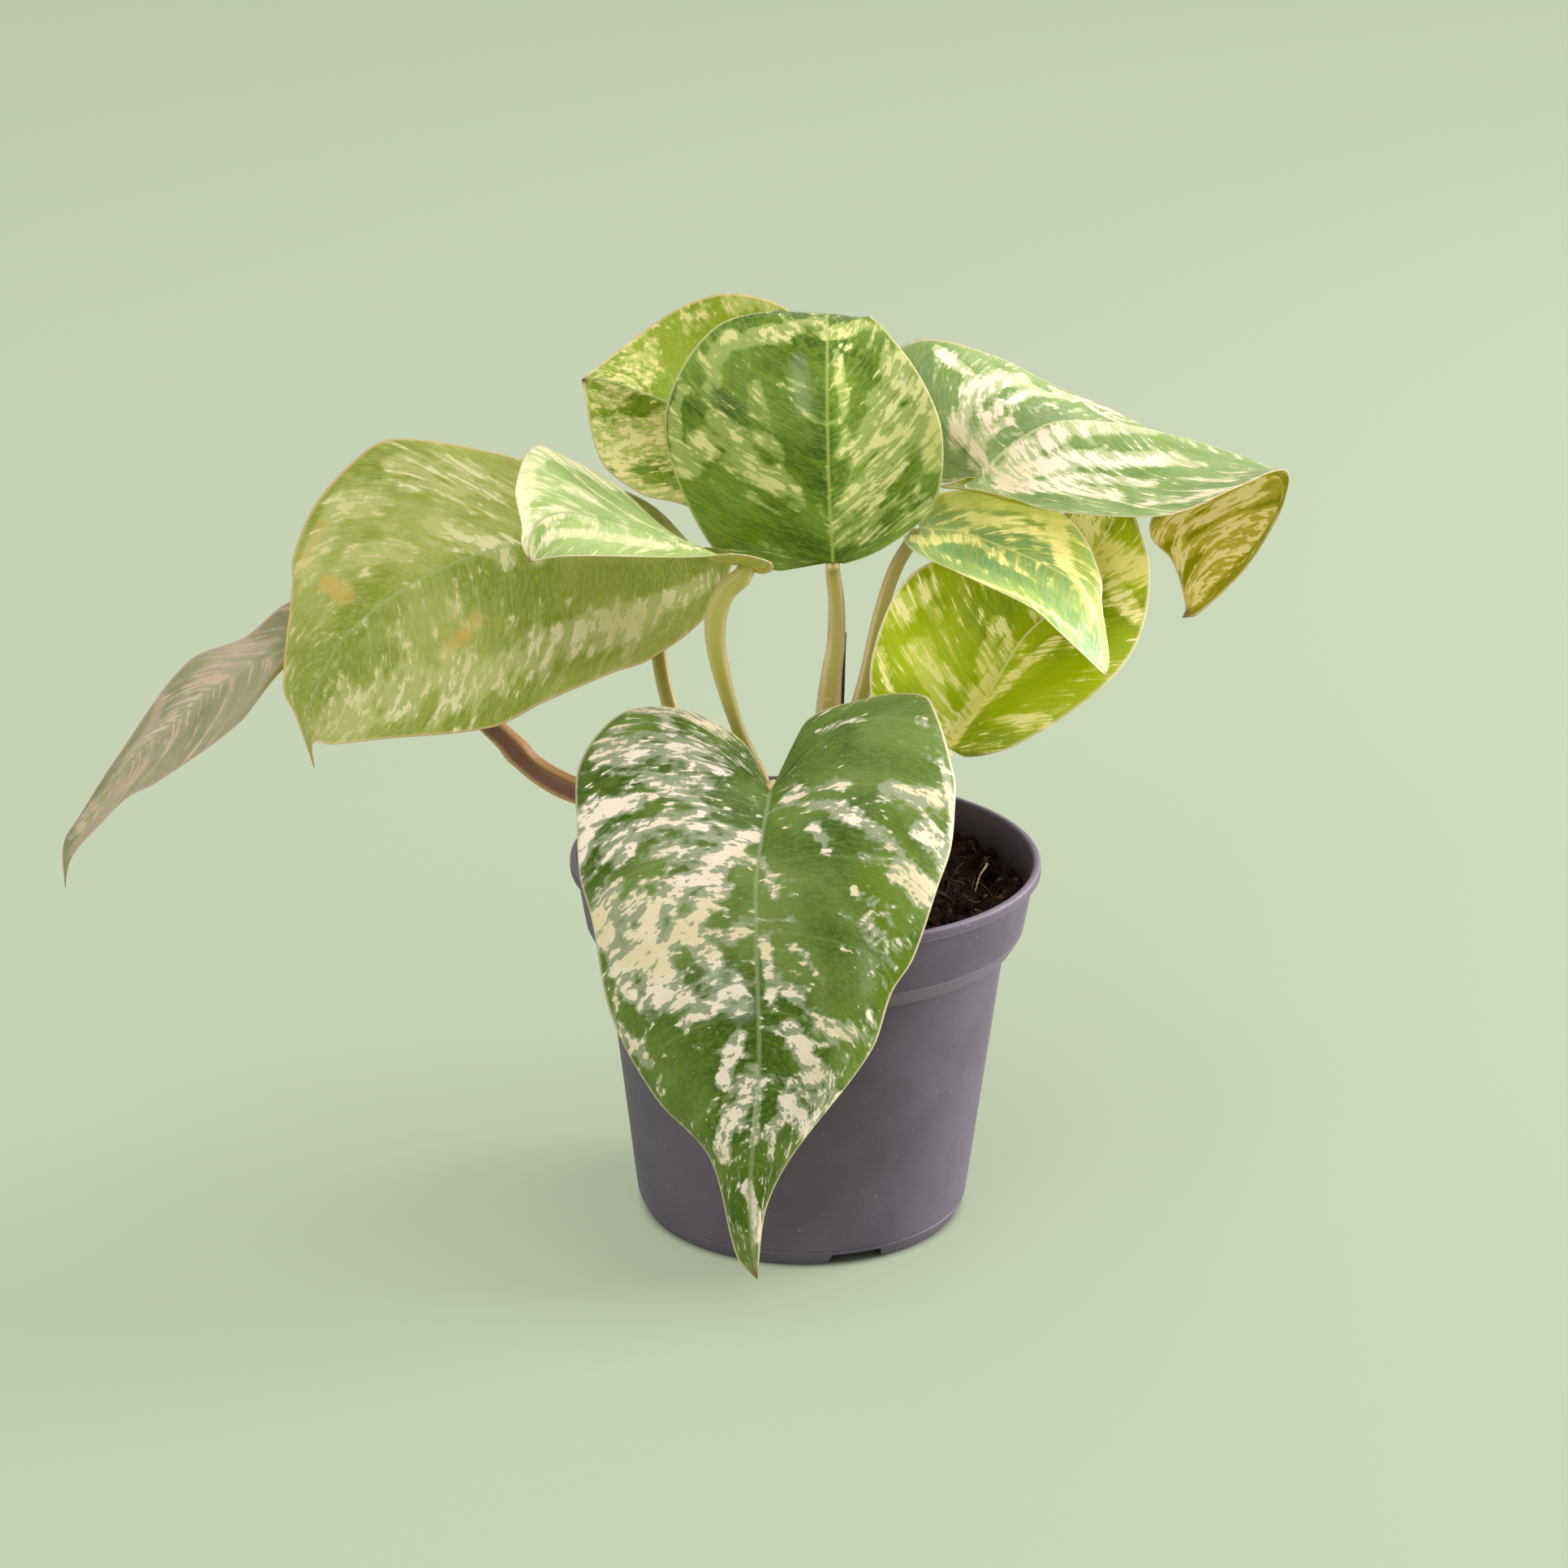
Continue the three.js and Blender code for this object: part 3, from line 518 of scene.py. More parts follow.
def prism(outline_low, outline_high):
    """Points and faces of a closed prism between two outlines that run the same way round."""
    count = len(outline_low)
    faces = [tuple(reversed(range(count))), tuple(range(count, 2 * count))]
    faces += [(i, (i + 1) % count, count + (i + 1) % count, count + i) for i in range(count)]
    return outline_low + outline_high, faces


def notch(turn):
    """A tool for one notch: a box through the foot ring, wider at the floor."""
    inner, outer = FOOT_RADIUS - 2.2 * FOOT_RING_WIDTH, FOOT_RADIUS + FOOT_RING_WIDTH
    outlines = []
    for flare, z in zip(NOTCH_FLARE, (-CUT_PAST, NOTCH_HEIGHT)):
        half_width = NOTCH_WIDTH / 2 + flare
        corners = [(inner, -half_width), (outer, -half_width), (outer, half_width), (inner, half_width)]
        outlines.append(turned([(x, y, z) for x, y in corners], turn))
    return prism(*outlines)


def drain_hole(turn):
    """A tool for one drain hole: an upright cylinder through the raised panel."""
    sides = [2 * math.pi * i / DRAIN_SIDES for i in range(DRAIN_SIDES)]
    ring = [(DRAIN_RING_RADIUS + DRAIN_RADIUS * math.cos(a), DRAIN_RADIUS * math.sin(a)) for a in sides]
    heights = (-CUT_PAST, PANEL_TOP_Z + 2 * CUT_PAST)
    return prism(*[turned([(x, y, z) for x, y in ring], turn) for z in heights])


def cut(piece, points, faces):
    """Takes a closed shape away from the piece."""
    mesh = bpy.data.meshes.new("tool")
    mesh.from_pydata([tuple(float(c) * MM for c in p) for p in points], [], faces)
    tool = bpy.data.objects.new("tool", mesh)
    bpy.context.scene.collection.objects.link(tool)
    modifier = piece.modifiers.new("cut", "BOOLEAN")
    modifier.operation, modifier.solver, modifier.object = "DIFFERENCE", "EXACT", tool
    carved = bpy.data.meshes.new_from_object(piece.evaluated_get(bpy.context.evaluated_depsgraph_get()))
    piece.modifiers.clear()
    piece.data = carved
    bpy.data.objects.remove(tool)


cut(pot, *join_parts([*map(notch, NOTCH_TURNS), *map(drain_hole, DRAIN_TURNS)]))
pot.data.polygons.foreach_set("use_smooth", [True] * len(pot.data.polygons))
pot.data.set_sharp_from_angle(angle=SHARP_ANGLE)
print("pot faces after the cuts:", len(pot.data.polygons))

# %% [markdown]
# ### Pot finish
#
# The plastic is recycled: dull purple-grey in cloudy patches, with a fine grain and rare pale specks. Soil
# dust darkens the inner wall. Thin painted highlights run along the lip and the foot of the band, where these
# edges catch the light, the shoulder under the band, which faces up, gets a softer painted highlight, and the
# recess under the foot ring is painted near black as shade. The tone comes from the shared grain group, and
# the rest from the height on the piece and the distance from its axis.

# %% Pot material
# Thin painted highlights along the pot's outer edges, where they catch the light: height, half width and how
# light.
EDGE_HIGHLIGHTS = [
    (POT_HEIGHT - 0.1, 0.5, 0.3), (POT_HEIGHT - LIP_HEIGHT + 0.35, 0.4, 0.4), (BAND_FOOT_Z + 0.1, 0.4, 0.3),
]
# The colours of the painted highlights on the edges and the shoulder, of the soil dust, and of the painted
# shade in the recess under the foot ring.
EDGE_HIGHLIGHT_COLOUR, SHOULDER_HIGHLIGHT_COLOUR = linear(176, 166, 180), linear(150, 138, 156)
DUST_COLOUR, RECESS_SHADE_COLOUR = linear(40, 31, 29), linear(14, 16, 14)
BAND_SLOPE = (BAND_RADIUS_TOP - BAND_RADIUS_FOOT) / (POT_HEIGHT - LIP_HEIGHT - BAND_FOOT_Z)


def ramp_mm(value, low, high, out_low=0.0, out_high=1.0):
    """A smooth rise of a length on the pot between two lengths in mm."""
    return ramp_node(pot_tree, value, low * MM, high * MM, out_low, out_high)


grain = use_grain(pot_tree, 45.0, 1900.0, 700.0, 0.75)
patches = ramp_node(pot_tree, grain["Cloud"], 0.35, 0.65)
tone = mix_node(pot_tree, patches, linear(85, 77, 89), linear(95, 87, 100))
light_grain = ramp_node(pot_tree, grain["Grain"], 0.3, 0.75, 0.0, 0.35)
tone = mix_node(pot_tree, light_grain, tone, linear(82, 72, 88))
tone = mix_node(pot_tree, times(pot_tree, grain["Specks"], 0.3), tone, linear(160, 150, 162))
parts = split_place(pot_tree, object_place(pot_tree))
height, radius = parts["Z"], from_axis(pot_tree, parts)
face_start = (BAND_RADIUS_FOOT - BAND_SLOPE * BAND_FOOT_Z) * MM
band_face = math_node(pot_tree, "MULTIPLY_ADD", height, BAND_SLOPE, face_start)
past_face = math_node(pot_tree, "SUBTRACT", radius, band_face)
inside, outside = ramp_mm(past_face, -0.85, -0.5, 1.0, 0.0), ramp_mm(past_face, -0.5, -0.3)
dust = times(pot_tree, inside, ramp_mm(height, 88, 95.6, 1.0, 0.3))
dust = times(pot_tree, dust, ramp_node(pot_tree, grain["Cloud"], 0.3, 0.6, 0.6, 1.0))
dust = times(pot_tree, dust, ramp_mm(height, BAND_FOOT_Z - 1, BAND_FOOT_Z + 1))
tone = mix_node(pot_tree, dust, tone, DUST_COLOUR)
# Painted highlights: thin lighter lines along the outer edges.
for line_z, half_width, amount in EDGE_HIGHLIGHTS:
    rise = ramp_mm(height, line_z - half_width, line_z, 0.0, amount)
    fall = ramp_mm(height, line_z, line_z + half_width, 1.0, 0.0)
    tone = mix_node(pot_tree, times(pot_tree, times(pot_tree, rise, fall), outside), tone, EDGE_HIGHLIGHT_COLOUR)
# Painted highlight: the shoulder under the band, which faces up, is made lighter.
shoulder_highlight = times(pot_tree, ramp_mm(height, SHOULDER_Z - 0.6, SHOULDER_Z + 0.6, 0.0, 0.3),
                   ramp_mm(height, BAND_FOOT_Z - 0.6, BAND_FOOT_Z, 1.0, 0.0))
tone = mix_node(pot_tree, shoulder_highlight, tone, SHOULDER_HIGHLIGHT_COLOUR)
# Painted shade: the recess under the foot ring, seen through the notches, is near black.
recess_shade = times(pot_tree, ramp_mm(radius, FOOT_RADIUS - 0.9, FOOT_RADIUS - 0.4, 0.92, 0.0),
               ramp_mm(height, PANEL_Z, PANEL_TOP_Z, 1.0, 0.0))
tone = mix_node(pot_tree, recess_shade, tone, RECESS_SHADE_COLOUR)
pot_tree.links.new(tone, pot_shader.inputs["Base Color"])
pot_tree.links.new(ramp_node(pot_tree, grain["Grain"], 0.3, 0.7, 0.5, 0.62), pot_shader.inputs["Roughness"])
pot_shader.inputs["Specular IOR Level"].default_value = 0.4
add_bump(pot_tree, pot_shader, grain["Grain"], 0.22, 0.00015)
print("material:", pot_material.name)

# %% [markdown]
# ## Soil
#
# The pot is filled to about a centimetre under the lip with dark brown coir: crumbs, small lumps and
# reddish fibres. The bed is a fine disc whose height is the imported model's three waves plus several hundred
# rounded crumbs of different sizes, each raised where it lies, and it is heaped a little at the back. Loose
# crumbs and fibres are then laid on it. Every draw comes from one seeded generator, so the soil is the same
# each time.

# %% Soil bed
SOIL_Z = 86
SOIL_RADIUS = 56.2
SOIL_WAVES = [(0.9, 0.31, 0.27, 1.7), (0.8, 0.35, -0.62, 0.4), (0.6, -0.83, 0.55, 1.1)]
BACK_MOUND, MOUND_START, MOUND_RUN = 2.8, 5, 45
CRUMB_SINK = 0.9
# The bed's side from its top to its foot: radius and height.
BED_SIDES = [(55.5, 83.5), (54.0, 78.4), (49.3, 74.6), (40.9, 5.8), (39.3, 4.95)]
BED_RINGS = 150
BED_TURNS = 300
CRUMBS = 900
draw = np.random.default_rng(11)
crumb_turn = draw.uniform(0, 2 * math.pi, CRUMBS)
crumb_radius = SOIL_RADIUS * np.sqrt(draw.uniform(0, 1, CRUMBS))
crumb_x, crumb_y = crumb_radius * np.cos(crumb_turn), crumb_radius * np.sin(crumb_turn)
crumb_size = 0.8 + 2.6 * draw.uniform(0, 1, CRUMBS) ** 2.2
# Each fine wave: how close its crests are, its direction and where it starts.
FINE_WAVES = 26
WAVE_RANGES = ((1.5, 5.5), (0, 2 * math.pi), (0, 6.28))
fine_waves = [[draw.uniform(*limits) for limits in WAVE_RANGES] for _ in range(FINE_WAVES)]


def soil_height(x, y):
    """The height of the soil's top at points, in mm."""
    z = SOIL_Z + sum(h * np.sin(ax * x + ay * y + start) for h, ax, ay, start in SOIL_WAVES)
    flat_x, flat_y = np.ravel(x), np.ravel(y)
    lift = np.zeros(len(flat_x))
    mound = BACK_MOUND * np.clip((np.asarray(y) - MOUND_START) / MOUND_RUN, 0, 1)
    for cx, cy, size in zip(crumb_x, crumb_y, crumb_size):
        near = (flat_x - cx) ** 2 + (flat_y - cy) ** 2
        lift = np.maximum(lift, 0.75 * np.sqrt(np.maximum(size**2 - near, 0)))
    ripple = sum(np.sin(k * (flat_x * math.cos(a) + flat_y * math.sin(a)) + s) for k, a, s in fine_waves)
    return z - CRUMB_SINK + mound + np.reshape(lift + 0.045 * ripple, np.shape(x))


rings = SOIL_RADIUS * (np.arange(1, BED_RINGS + 1) / BED_RINGS) ** 0.75
turns = np.linspace(0, 2 * math.pi, BED_TURNS, endpoint=False)
bed_x, bed_y = rings[:, None] * np.cos(turns), rings[:, None] * np.sin(turns)
bed_z = soil_height(bed_x, bed_y)
side_rings = [np.stack([r * np.cos(turns), r * np.sin(turns), z + 0 * turns], axis=-1) for r, z in BED_SIDES]
bed = np.concatenate([np.stack([bed_x, bed_y, bed_z], axis=-1), np.array(side_rings)]).reshape(-1, 3)
bed_faces = [face[::-1] for face in grid_faces(BED_RINGS + len(BED_SIDES), BED_TURNS, closed=True)]
middle, under = len(bed), len(bed) + 1
middle_z = float(soil_height(np.array([0.0]), np.array([0.0]))[0])
bed = np.vstack([bed, [[0, 0, middle_z], [0, 0, BED_SIDES[-1][1]]]])
last = (BED_RINGS + len(BED_SIDES) - 1) * BED_TURNS
for k in range(BED_TURNS):
    following = (k + 1) % BED_TURNS
    bed_faces += [[middle, k, following], [under, last + following, last + k]]
soil_material, soil_tree, soil_shader = new_material("coir_soil")
add_piece("soil_bed", bed, bed_faces, soil_material, node="soil", slot="soil")
print("soil bed points:", len(bed))

# %% Loose crumbs
LOOSE = 420
# Loose crumbs keep clear of the places where stems stand.
STEM_FEET = [(4, 4), (-6, -9), (-6, -2), (-16, 9), (14, 14), (17, 2), (-22, 16)]
STEM_ROOM = 5.5
BALL_RINGS, BALL_TURNS = 6, 8


def ball(rings_count, turns_count):
    """A unit ball's points and faces."""
    lat = np.linspace(0, math.pi, rings_count + 2)[1:-1]
    lon = np.linspace(0, 2 * math.pi, turns_count, endpoint=False)
    radius, height = np.sin(lat)[:, None], np.cos(lat)[:, None]
    rings_of_points = [radius * np.cos(lon), radius * np.sin(lon), height + 0 * lon]
    ring_points = np.stack(rings_of_points, axis=-1).reshape(-1, 3)
    ball_faces = [face[::-1] for face in grid_faces(rings_count, turns_count, closed=True)]
    top_i, low_i = len(ring_points), len(ring_points) + 1
    last_ring = (rings_count - 1) * turns_count
    for k in range(turns_count):
        following = (k + 1) % turns_count
        ball_faces += [[top_i, k, following], [low_i, last_ring + following, last_ring + k]]
    return np.vstack([ring_points, [[0, 0, 1], [0, 0, -1]]]), ball_faces


def random_turn():
    """A random rotation as a matrix."""
    q = draw.normal(size=4)
    w, x, y, z = q / np.linalg.norm(q)
    return np.array([
        [1 - 2 * (y * y + z * z), 2 * (x * y - z * w), 2 * (x * z + y * w)],
        [2 * (x * y + z * w), 1 - 2 * (x * x + z * z), 2 * (y * z - x * w)],
        [2 * (x * z - y * w), 2 * (y * z + x * w), 1 - 2 * (x * x + y * y)],
    ])


unit_points, unit_faces = ball(BALL_RINGS, BALL_TURNS)
crumbs = []
while len(crumbs) < LOOSE:
    turn, radius = draw.uniform(0, 2 * math.pi), (SOIL_RADIUS - 2.5) * math.sqrt(draw.uniform(0, 1))
    x, y = radius * math.cos(turn), radius * math.sin(turn)
    if min(math.hypot(x - fx, y - fy) for fx, fy in STEM_FEET) < STEM_ROOM:
        continue
    size = 0.55 + 1.5 * draw.uniform() ** 2.5
    stretch = size * draw.uniform(0.55, 1.25, 3)
    lumps = 1 + 0.22 * draw.normal(size=(len(unit_points), 1))
    shaped = (unit_points * lumps * stretch) @ random_turn().T
    z = float(soil_height(np.array([x]), np.array([y]))[0]) + 0.35 * size
    crumbs.append((shaped + [x, y, z], unit_faces))
add_piece("soil_crumbs", *join_parts(crumbs), soil_material, slot="soil", smooth=False)
print("loose crumbs:", len(crumbs))

# %% Tubes
GROOVE_ANGLE = 0.42
END_SHARE, END_REACH = 0.6, 0.25


def tube(path, radii, steps, sides, groove=0.0, ripple=None):
    """Points and faces of a closed round tube along a smooth curve. groove presses in its front side."""
    shares = np.linspace(0, 1, steps + 1)
    centres = along(path, shares)
    tangents = along(path, shares + 0.01) - along(path, shares - 0.01)
    tangents /= np.linalg.norm(tangents, axis=1)[:, None]
    radius = np.interp(shares, np.linspace(0, 1, len(radii)), radii)
    if ripple is not None:
        radius = radius * ripple(shares)
    across = np.array([0.0, 1.0, 0.0])
    turns = np.linspace(0, 2 * math.pi, sides, endpoint=False)
    front = np.exp(-((np.abs(turns - math.pi) / GROOVE_ANGLE) ** 2))
    rows = []
    for centre, tangent, r in zip(centres, tangents, radius):
        across = across - across.dot(tangent) * tangent
        across /= np.linalg.norm(across)
        sideways = np.cross(tangent, across)
        reach = r * (1 - groove * front)
        around = np.cos(turns)[:, None] * across + np.sin(turns)[:, None] * sideways
        rows.append(centre + reach[:, None] * around)
    foot_ring = centres[0] + (rows[0] - centres[0]) * END_SHARE - tangents[0] * radius[0] * END_REACH
    top_ring = centres[-1] + (rows[-1] - centres[-1]) * END_SHARE + tangents[-1] * radius[-1] * END_REACH
    rows = [foot_ring, *rows, top_ring]
    points = np.vstack([*rows, foot_ring.mean(axis=0)[None], top_ring.mean(axis=0)[None]])
    faces = grid_faces(len(rows), sides, closed=True)
    foot_i, top_i, last_row = len(rows) * sides, len(rows) * sides + 1, (len(rows) - 1) * sides
    for k in range(sides):
        following = (k + 1) % sides
        faces += [[foot_i, following, k], [top_i, last_row + k, last_row + following]]
    return points, faces


print("tube tool ready")

# %% Fibres and a rootlet
FIBRES = 170
ROOTLET = [(47, 14, 88.5), (46.3, 8, 89.9), (44.6, 2, 89.8), (43.2, -4.5, 88)]


def soil_strand(name, cloud_scale, detail, tone_range, dark, pale, roughness):
    """The finish of fibres and roots: two tones in soft patches."""
    material, tree, shader = new_material(name)
    patch = ramp_node(tree, noise_node(tree, object_place(tree), cloud_scale, detail), *tone_range)
    tree.links.new(mix_node(tree, patch, linear(*dark), linear(*pale)), shader.inputs["Base Color"])
    shader.inputs["Roughness"].default_value = roughness
    return material


fibres = []
for k in range(FIBRES):
    turn, radius = draw.uniform(0, 2 * math.pi), (SOIL_RADIUS - 6) * math.sqrt(draw.uniform(0, 1))
    x, y = radius * math.cos(turn), radius * math.sin(turn)
    heading, length, bend = draw.uniform(0, 2 * math.pi), draw.uniform(3, 11), draw.normal(0, 0.5)
    steps = np.linspace(-0.5, 0.5, 5)
    px = x + length * steps * math.cos(heading) - bend * length * (steps**2) * math.sin(heading)
    py = y + length * steps * math.sin(heading) + bend * length * (steps**2) * math.cos(heading)
    shrink = np.minimum(1, (SOIL_RADIUS - 1.5) / np.maximum(np.hypot(px, py), 1e-6))
    px, py = px * shrink, py * shrink
    pz = soil_height(px, py) + draw.uniform(0.1, 0.7) + 0.5 * np.abs(draw.normal(size=5))
    thick = draw.uniform(0.12, 0.3)
    fibres.append(tube(np.stack([px, py, pz], axis=1), [thick, thick, 0.6 * thick], 8, 5))
fibre_material = soil_strand("coir_fibre", 130.0, 1.0, (0.4, 0.62), (58, 35, 24), (104, 71, 49), 0.75)
add_piece("soil_fibres", *join_parts(fibres), fibre_material, slot="soil")
rootlet_material = soil_strand("pale_rootlet", 500.0, 2.0, (0.35, 0.65), (150, 124, 92), (196, 172, 138), 0.6)
add_piece("soil_rootlet", *tube(ROOTLET, [0.45, 0.36, 0.18, 0.12], 16, 8), rootlet_material, slot="soil")
print("fibres:", FIBRES)

# %% Soil material
grain = use_grain(soil_tree, 110.0, 1500.0, 420.0, 0.66)
patches = ramp_node(soil_tree, grain["Cloud"], 0.35, 0.65)
tone = mix_node(soil_tree, patches, linear(17, 9, 7), linear(38, 23, 17))
light_grain = ramp_node(soil_tree, grain["Grain"], 0.4, 0.75, 0.0, 0.5)
tone = mix_node(soil_tree, light_grain, tone, linear(72, 48, 36))
tone = mix_node(soil_tree, times(soil_tree, grain["Specks"], 0.5), tone, linear(120, 84, 62))
soil_tree.links.new(tone, soil_shader.inputs["Base Color"])
soil_shader.inputs["Roughness"].default_value = 0.92
soil_shader.inputs["Specular IOR Level"].default_value = 0.1
add_bump(soil_tree, soil_shader, grain["Grain"], 0.8, 0.0006)
print("material:", soil_material.name)

# %% [markdown]
# ## Leaf blades
#
# A pothos leaf is a thin heart: a midrib from the petiole to the tip, two halves that bulge a little
# upward, basal lobes, and side veins that fan out of the petiole and then leave the midrib one after
# another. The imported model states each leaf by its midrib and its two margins. The same points are used
# here, and a vein is the line from the midrib to the margin at one share of the way.
#
# Because the marbling of this plant follows the veins, the same two numbers, the share along and the
# distance out from the midrib, are kept as a UV map, and every streak is drawn along them.

# %% Leaf points
LEAVES = {
    "leaf_front": {
        "midrib": [
            (-9, -42, 128), (-12, -60, 114), (-12, -69, 101), (-11, -76, 70), (-13, -75, 34),
            (-11, -73, 12),
        ],
        "left": [
            (-16, -33, 138), (-31, -24, 143), (-46, -22, 141), (-56, -28, 130), (-56, -43, 117),
            (-55, -50, 108), (-52, -56, 100), (-47, -64, 78), (-36, -68, 58), (-23, -71, 44),
            (-16, -73, 18),
        ],
        "right": [
            (-5, -37, 132), (0, -28, 142), (16, -22, 146), (25, -22, 147), (30, -24, 146), (36, -35, 130),
            (36, -41, 124), (35, -46, 115), (32, -52, 108), (26, -60, 92), (21, -64, 85), (16, -68, 71),
            (-3, -73, 45), (-9, -73, 31),
        ],
        "lobe": (0.26, 0.26), "arch": ((3, 5, 3, 0), (3, 5, 3, 0)),
    },
    "leaf_centre": {
        "midrib": [
            (6, 6, 172), (5, 4, 186), (4, 10, 213), (4, 24, 228), (4, 33, 230), (9, 43, 222),
            (11, 51, 212),
        ],
        "left": [
            (8, 7, 171), (19, 9, 175), (31, 13, 185), (33, 17, 202), (27, 21, 216.5), (15, 32, 229),
            (18, 42, 221), (16, 48, 214),
        ],
        "right": [
            (2, 7, 172), (-8, 11, 168), (-18, 15, 171), (-25, 17, 173), (-36, 20, 197), (-35, 21, 212),
            (-25, 27, 226), (-10, 35, 230.5), (-2, 44, 222), (5, 49, 215),
        ],
        "lobe": (0.24, 0.24), "arch": ((0, -3, -0.5, 0), (0, -3, -0.5, 0)),
    },
    "leaf_back": {
        "midrib": [(1, 38, 182), (-10, 41, 190), (-25, 42, 198), (-51, 37, 210), (-58, 34, 211)],
        "left": [
            (5, 42, 183), (8, 48, 190), (7, 58, 203), (1, 66, 214), (-7, 68, 222), (-21, 66, 226),
            (-33, 60, 224), (-45, 50, 218),
        ],
        "right": [
            (1, 35, 181), (-8, 29, 176), (-20, 26, 177), (-34, 27, 181), (-43, 28, 183), (-53, 30, 191),
        ],
        "lobe": (0.3, 0.28), "arch": ((0, -3, -3, 0), (0, -3, -3, 0)),
    },
    "leaf_back_right": {
        "midrib": [
            (44, 30, 189), (53, 35, 196), (64, 40, 200), (89, 50, 195), (119, 57, 184), (125, 61, 178),
            (123, 63, 169), (114, 58, 157), (98, 48, 145),
        ],
        "left": [
            (41, 27, 189), (36, 25, 187.5), (32, 22, 187.5), (35, 16, 189), (42, 10, 190), (51, 6, 189),
            (58, 4, 187), (74, 5, 185), (91, 11, 184), (108, 25, 187), (121, 42, 187), (126, 52, 181),
            (125, 55, 176), (115, 53, 158), (102, 48, 146),
        ],
        "right": [
            (38, 33, 185.5), (30, 38, 184.5), (22, 46, 191), (20, 56, 203), (22, 62, 212), (31, 68, 214),
            (50, 76, 207), (62, 80, 200), (88, 86, 187), (98, 86, 179), (97, 80, 169), (91, 74, 164),
            (91, 69, 160), (96, 63, 156), (99, 51, 147),
        ],
        "lobe": (0.22, 0.26), "arch": ((-2, -5, -1, 0), (-2, -5, -2, 0)),
    },
    "leaf_right": {
        "midrib": [(28, 20, 177), (38, 17, 177), (63, 6, 170), (71, -1, 164), (74, -10, 148)],
        "left": [(24, 18, 175), (27, 8, 174), (39, -5, 172), (55, -15, 167), (62, -16, 161)],
        "right": [
            (26, 24, 181), (33, 26, 184.5), (43, 27, 185), (55, 29, 183.5), (68, 30, 175), (74, 18, 165),
            (74, 12, 160), (75, -5, 151),
        ],
        "lobe": (0.2, 0.22), "arch": ((0, -2, -2, 0), (0, -1, -1, 0)),
    },
    "leaf_low_right": {
        "midrib": [
            (36, 6, 123), (46, 16, 134), (55, 25, 146), (65, 32, 154), (77, 41, 170), (80, 43, 179),
        ],
        "left": [(41, 2, 122), (53, -2, 127), (72, 2, 139), (83, 12, 149), (87, 25, 163), (84, 37, 175)],
        "right": [(32, 2, 121), (18, -4, 133), (16, 0, 149), (26, 13, 167), (52, 31, 171), (67, 40, 176)],
        "lobe": (0.14, 0.22), "arch": ((0, 3, 3, 0), (0, 3, 3, 0)),
    },
    "leaf_left": {
        "midrib": [
            (-33, 14, 173), (-48, 13, 175), (-83, 10, 172), (-115, 6, 153), (-127, 5, 129),
            (-125, 3, 117),
        ],
        "left": [
            (-30, 18, 172), (-31, 24, 172), (-41, 36, 178), (-56, 41, 183), (-87, 44, 190),
            (-106, 41, 193), (-113, 38, 191), (-125, 29, 180), (-131, 22, 167), (-131, 19, 161),
            (-133, 9, 136), (-130, 7, 130),
        ],
        "right": [
            (-21, 6, 175), (-19, 4, 173), (-25, -3, 161), (-39, -9, 151), (-49, -12, 148),
            (-66, -15, 141), (-78, -16, 135), (-107, -9, 129), (-120, -2, 125), (-125, 2, 124),
        ],
        "lobe": (0.18, 0.2), "arch": ((-2, -4, -2, 0), (-2, -4, -2, 0)),
    },
    "leaf_far_left": {
        "midrib": [
            (-123, 22, 145), (-133, 21, 143), (-152, 18, 133), (-162, 17, 124), (-172, 16, 116),
            (-184.5, 14, 98), (-190.8, 12.6, 88), (-192, 12, 80),
        ],
        "left": [
            (-121, 27, 147), (-126, 33, 152), (-134, 34, 151), (-145, 29, 143), (-159, 24, 138),
            (-177, 17.5, 114.5), (-187.5, 14.5, 98.5), (-192.6, 13, 90),
        ],
        "right": [
            (-122, 18, 142), (-126, 15, 139), (-133, 13, 142), (-137, 11, 138), (-144, 10, 127),
            (-167, 12, 109), (-174, 13, 105), (-182, 12.8, 97), (-189, 12, 89),
        ],
        "lobe": (0.16, 0.14), "arch": ((0, -3, -3, 0), (0, -2, -2, 0)),
    },
    "leaf_inner_left": {
        "midrib": [
            (-17, -10, 176), (-29, -13, 182), (-57, -11, 189), (-65, -15, 189), (-68, -21, 185),
            (-68, -26, 181),
        ],
        "left": [
            (-19, -6, 176), (-31, -1, 178), (-48, 7, 191), (-59, 8, 197), (-68, 3, 202), (-72, -13, 196),
            (-70, -21, 188), (-70, -24, 185),
        ],
        "right": [
            (-12, -11, 174), (-9, -14, 176), (-10, -17, 179), (-18, -21, 182), (-29, -24, 182),
            (-59, -31, 184),
        ],
        "lobe": (0.2, 0.22), "arch": ((0, -2, -2, 0), (0, -1, -1, 0)),
    },
}
print("leaves:", len(LEAVES))

# %% Leaf surface
VEIN_LEAD = 1.15
VEIN_END = 0.12
SLOPE_STEP = 0.01
ARCH_STATIONS = (0, 0.35, 0.7, 1)
ARCH_LIMIT = 0.12


def margin(leaf, side):
    """The margin of one half as a list of points, from the petiole round the lobe to the tip."""
    return [leaf["midrib"][0], *leaf[("left", "right")[side]], leaf["midrib"][-1]]


def vein_root(leaf, side, shares):
    """Where the veins at these shares leave the midrib. The first ones all leave from the petiole."""
    fan = leaf["lobe"][side]
    ahead = np.clip((shares - fan) / (1 - fan), 0, 1)
    return along(leaf["midrib"], ahead**VEIN_LEAD)


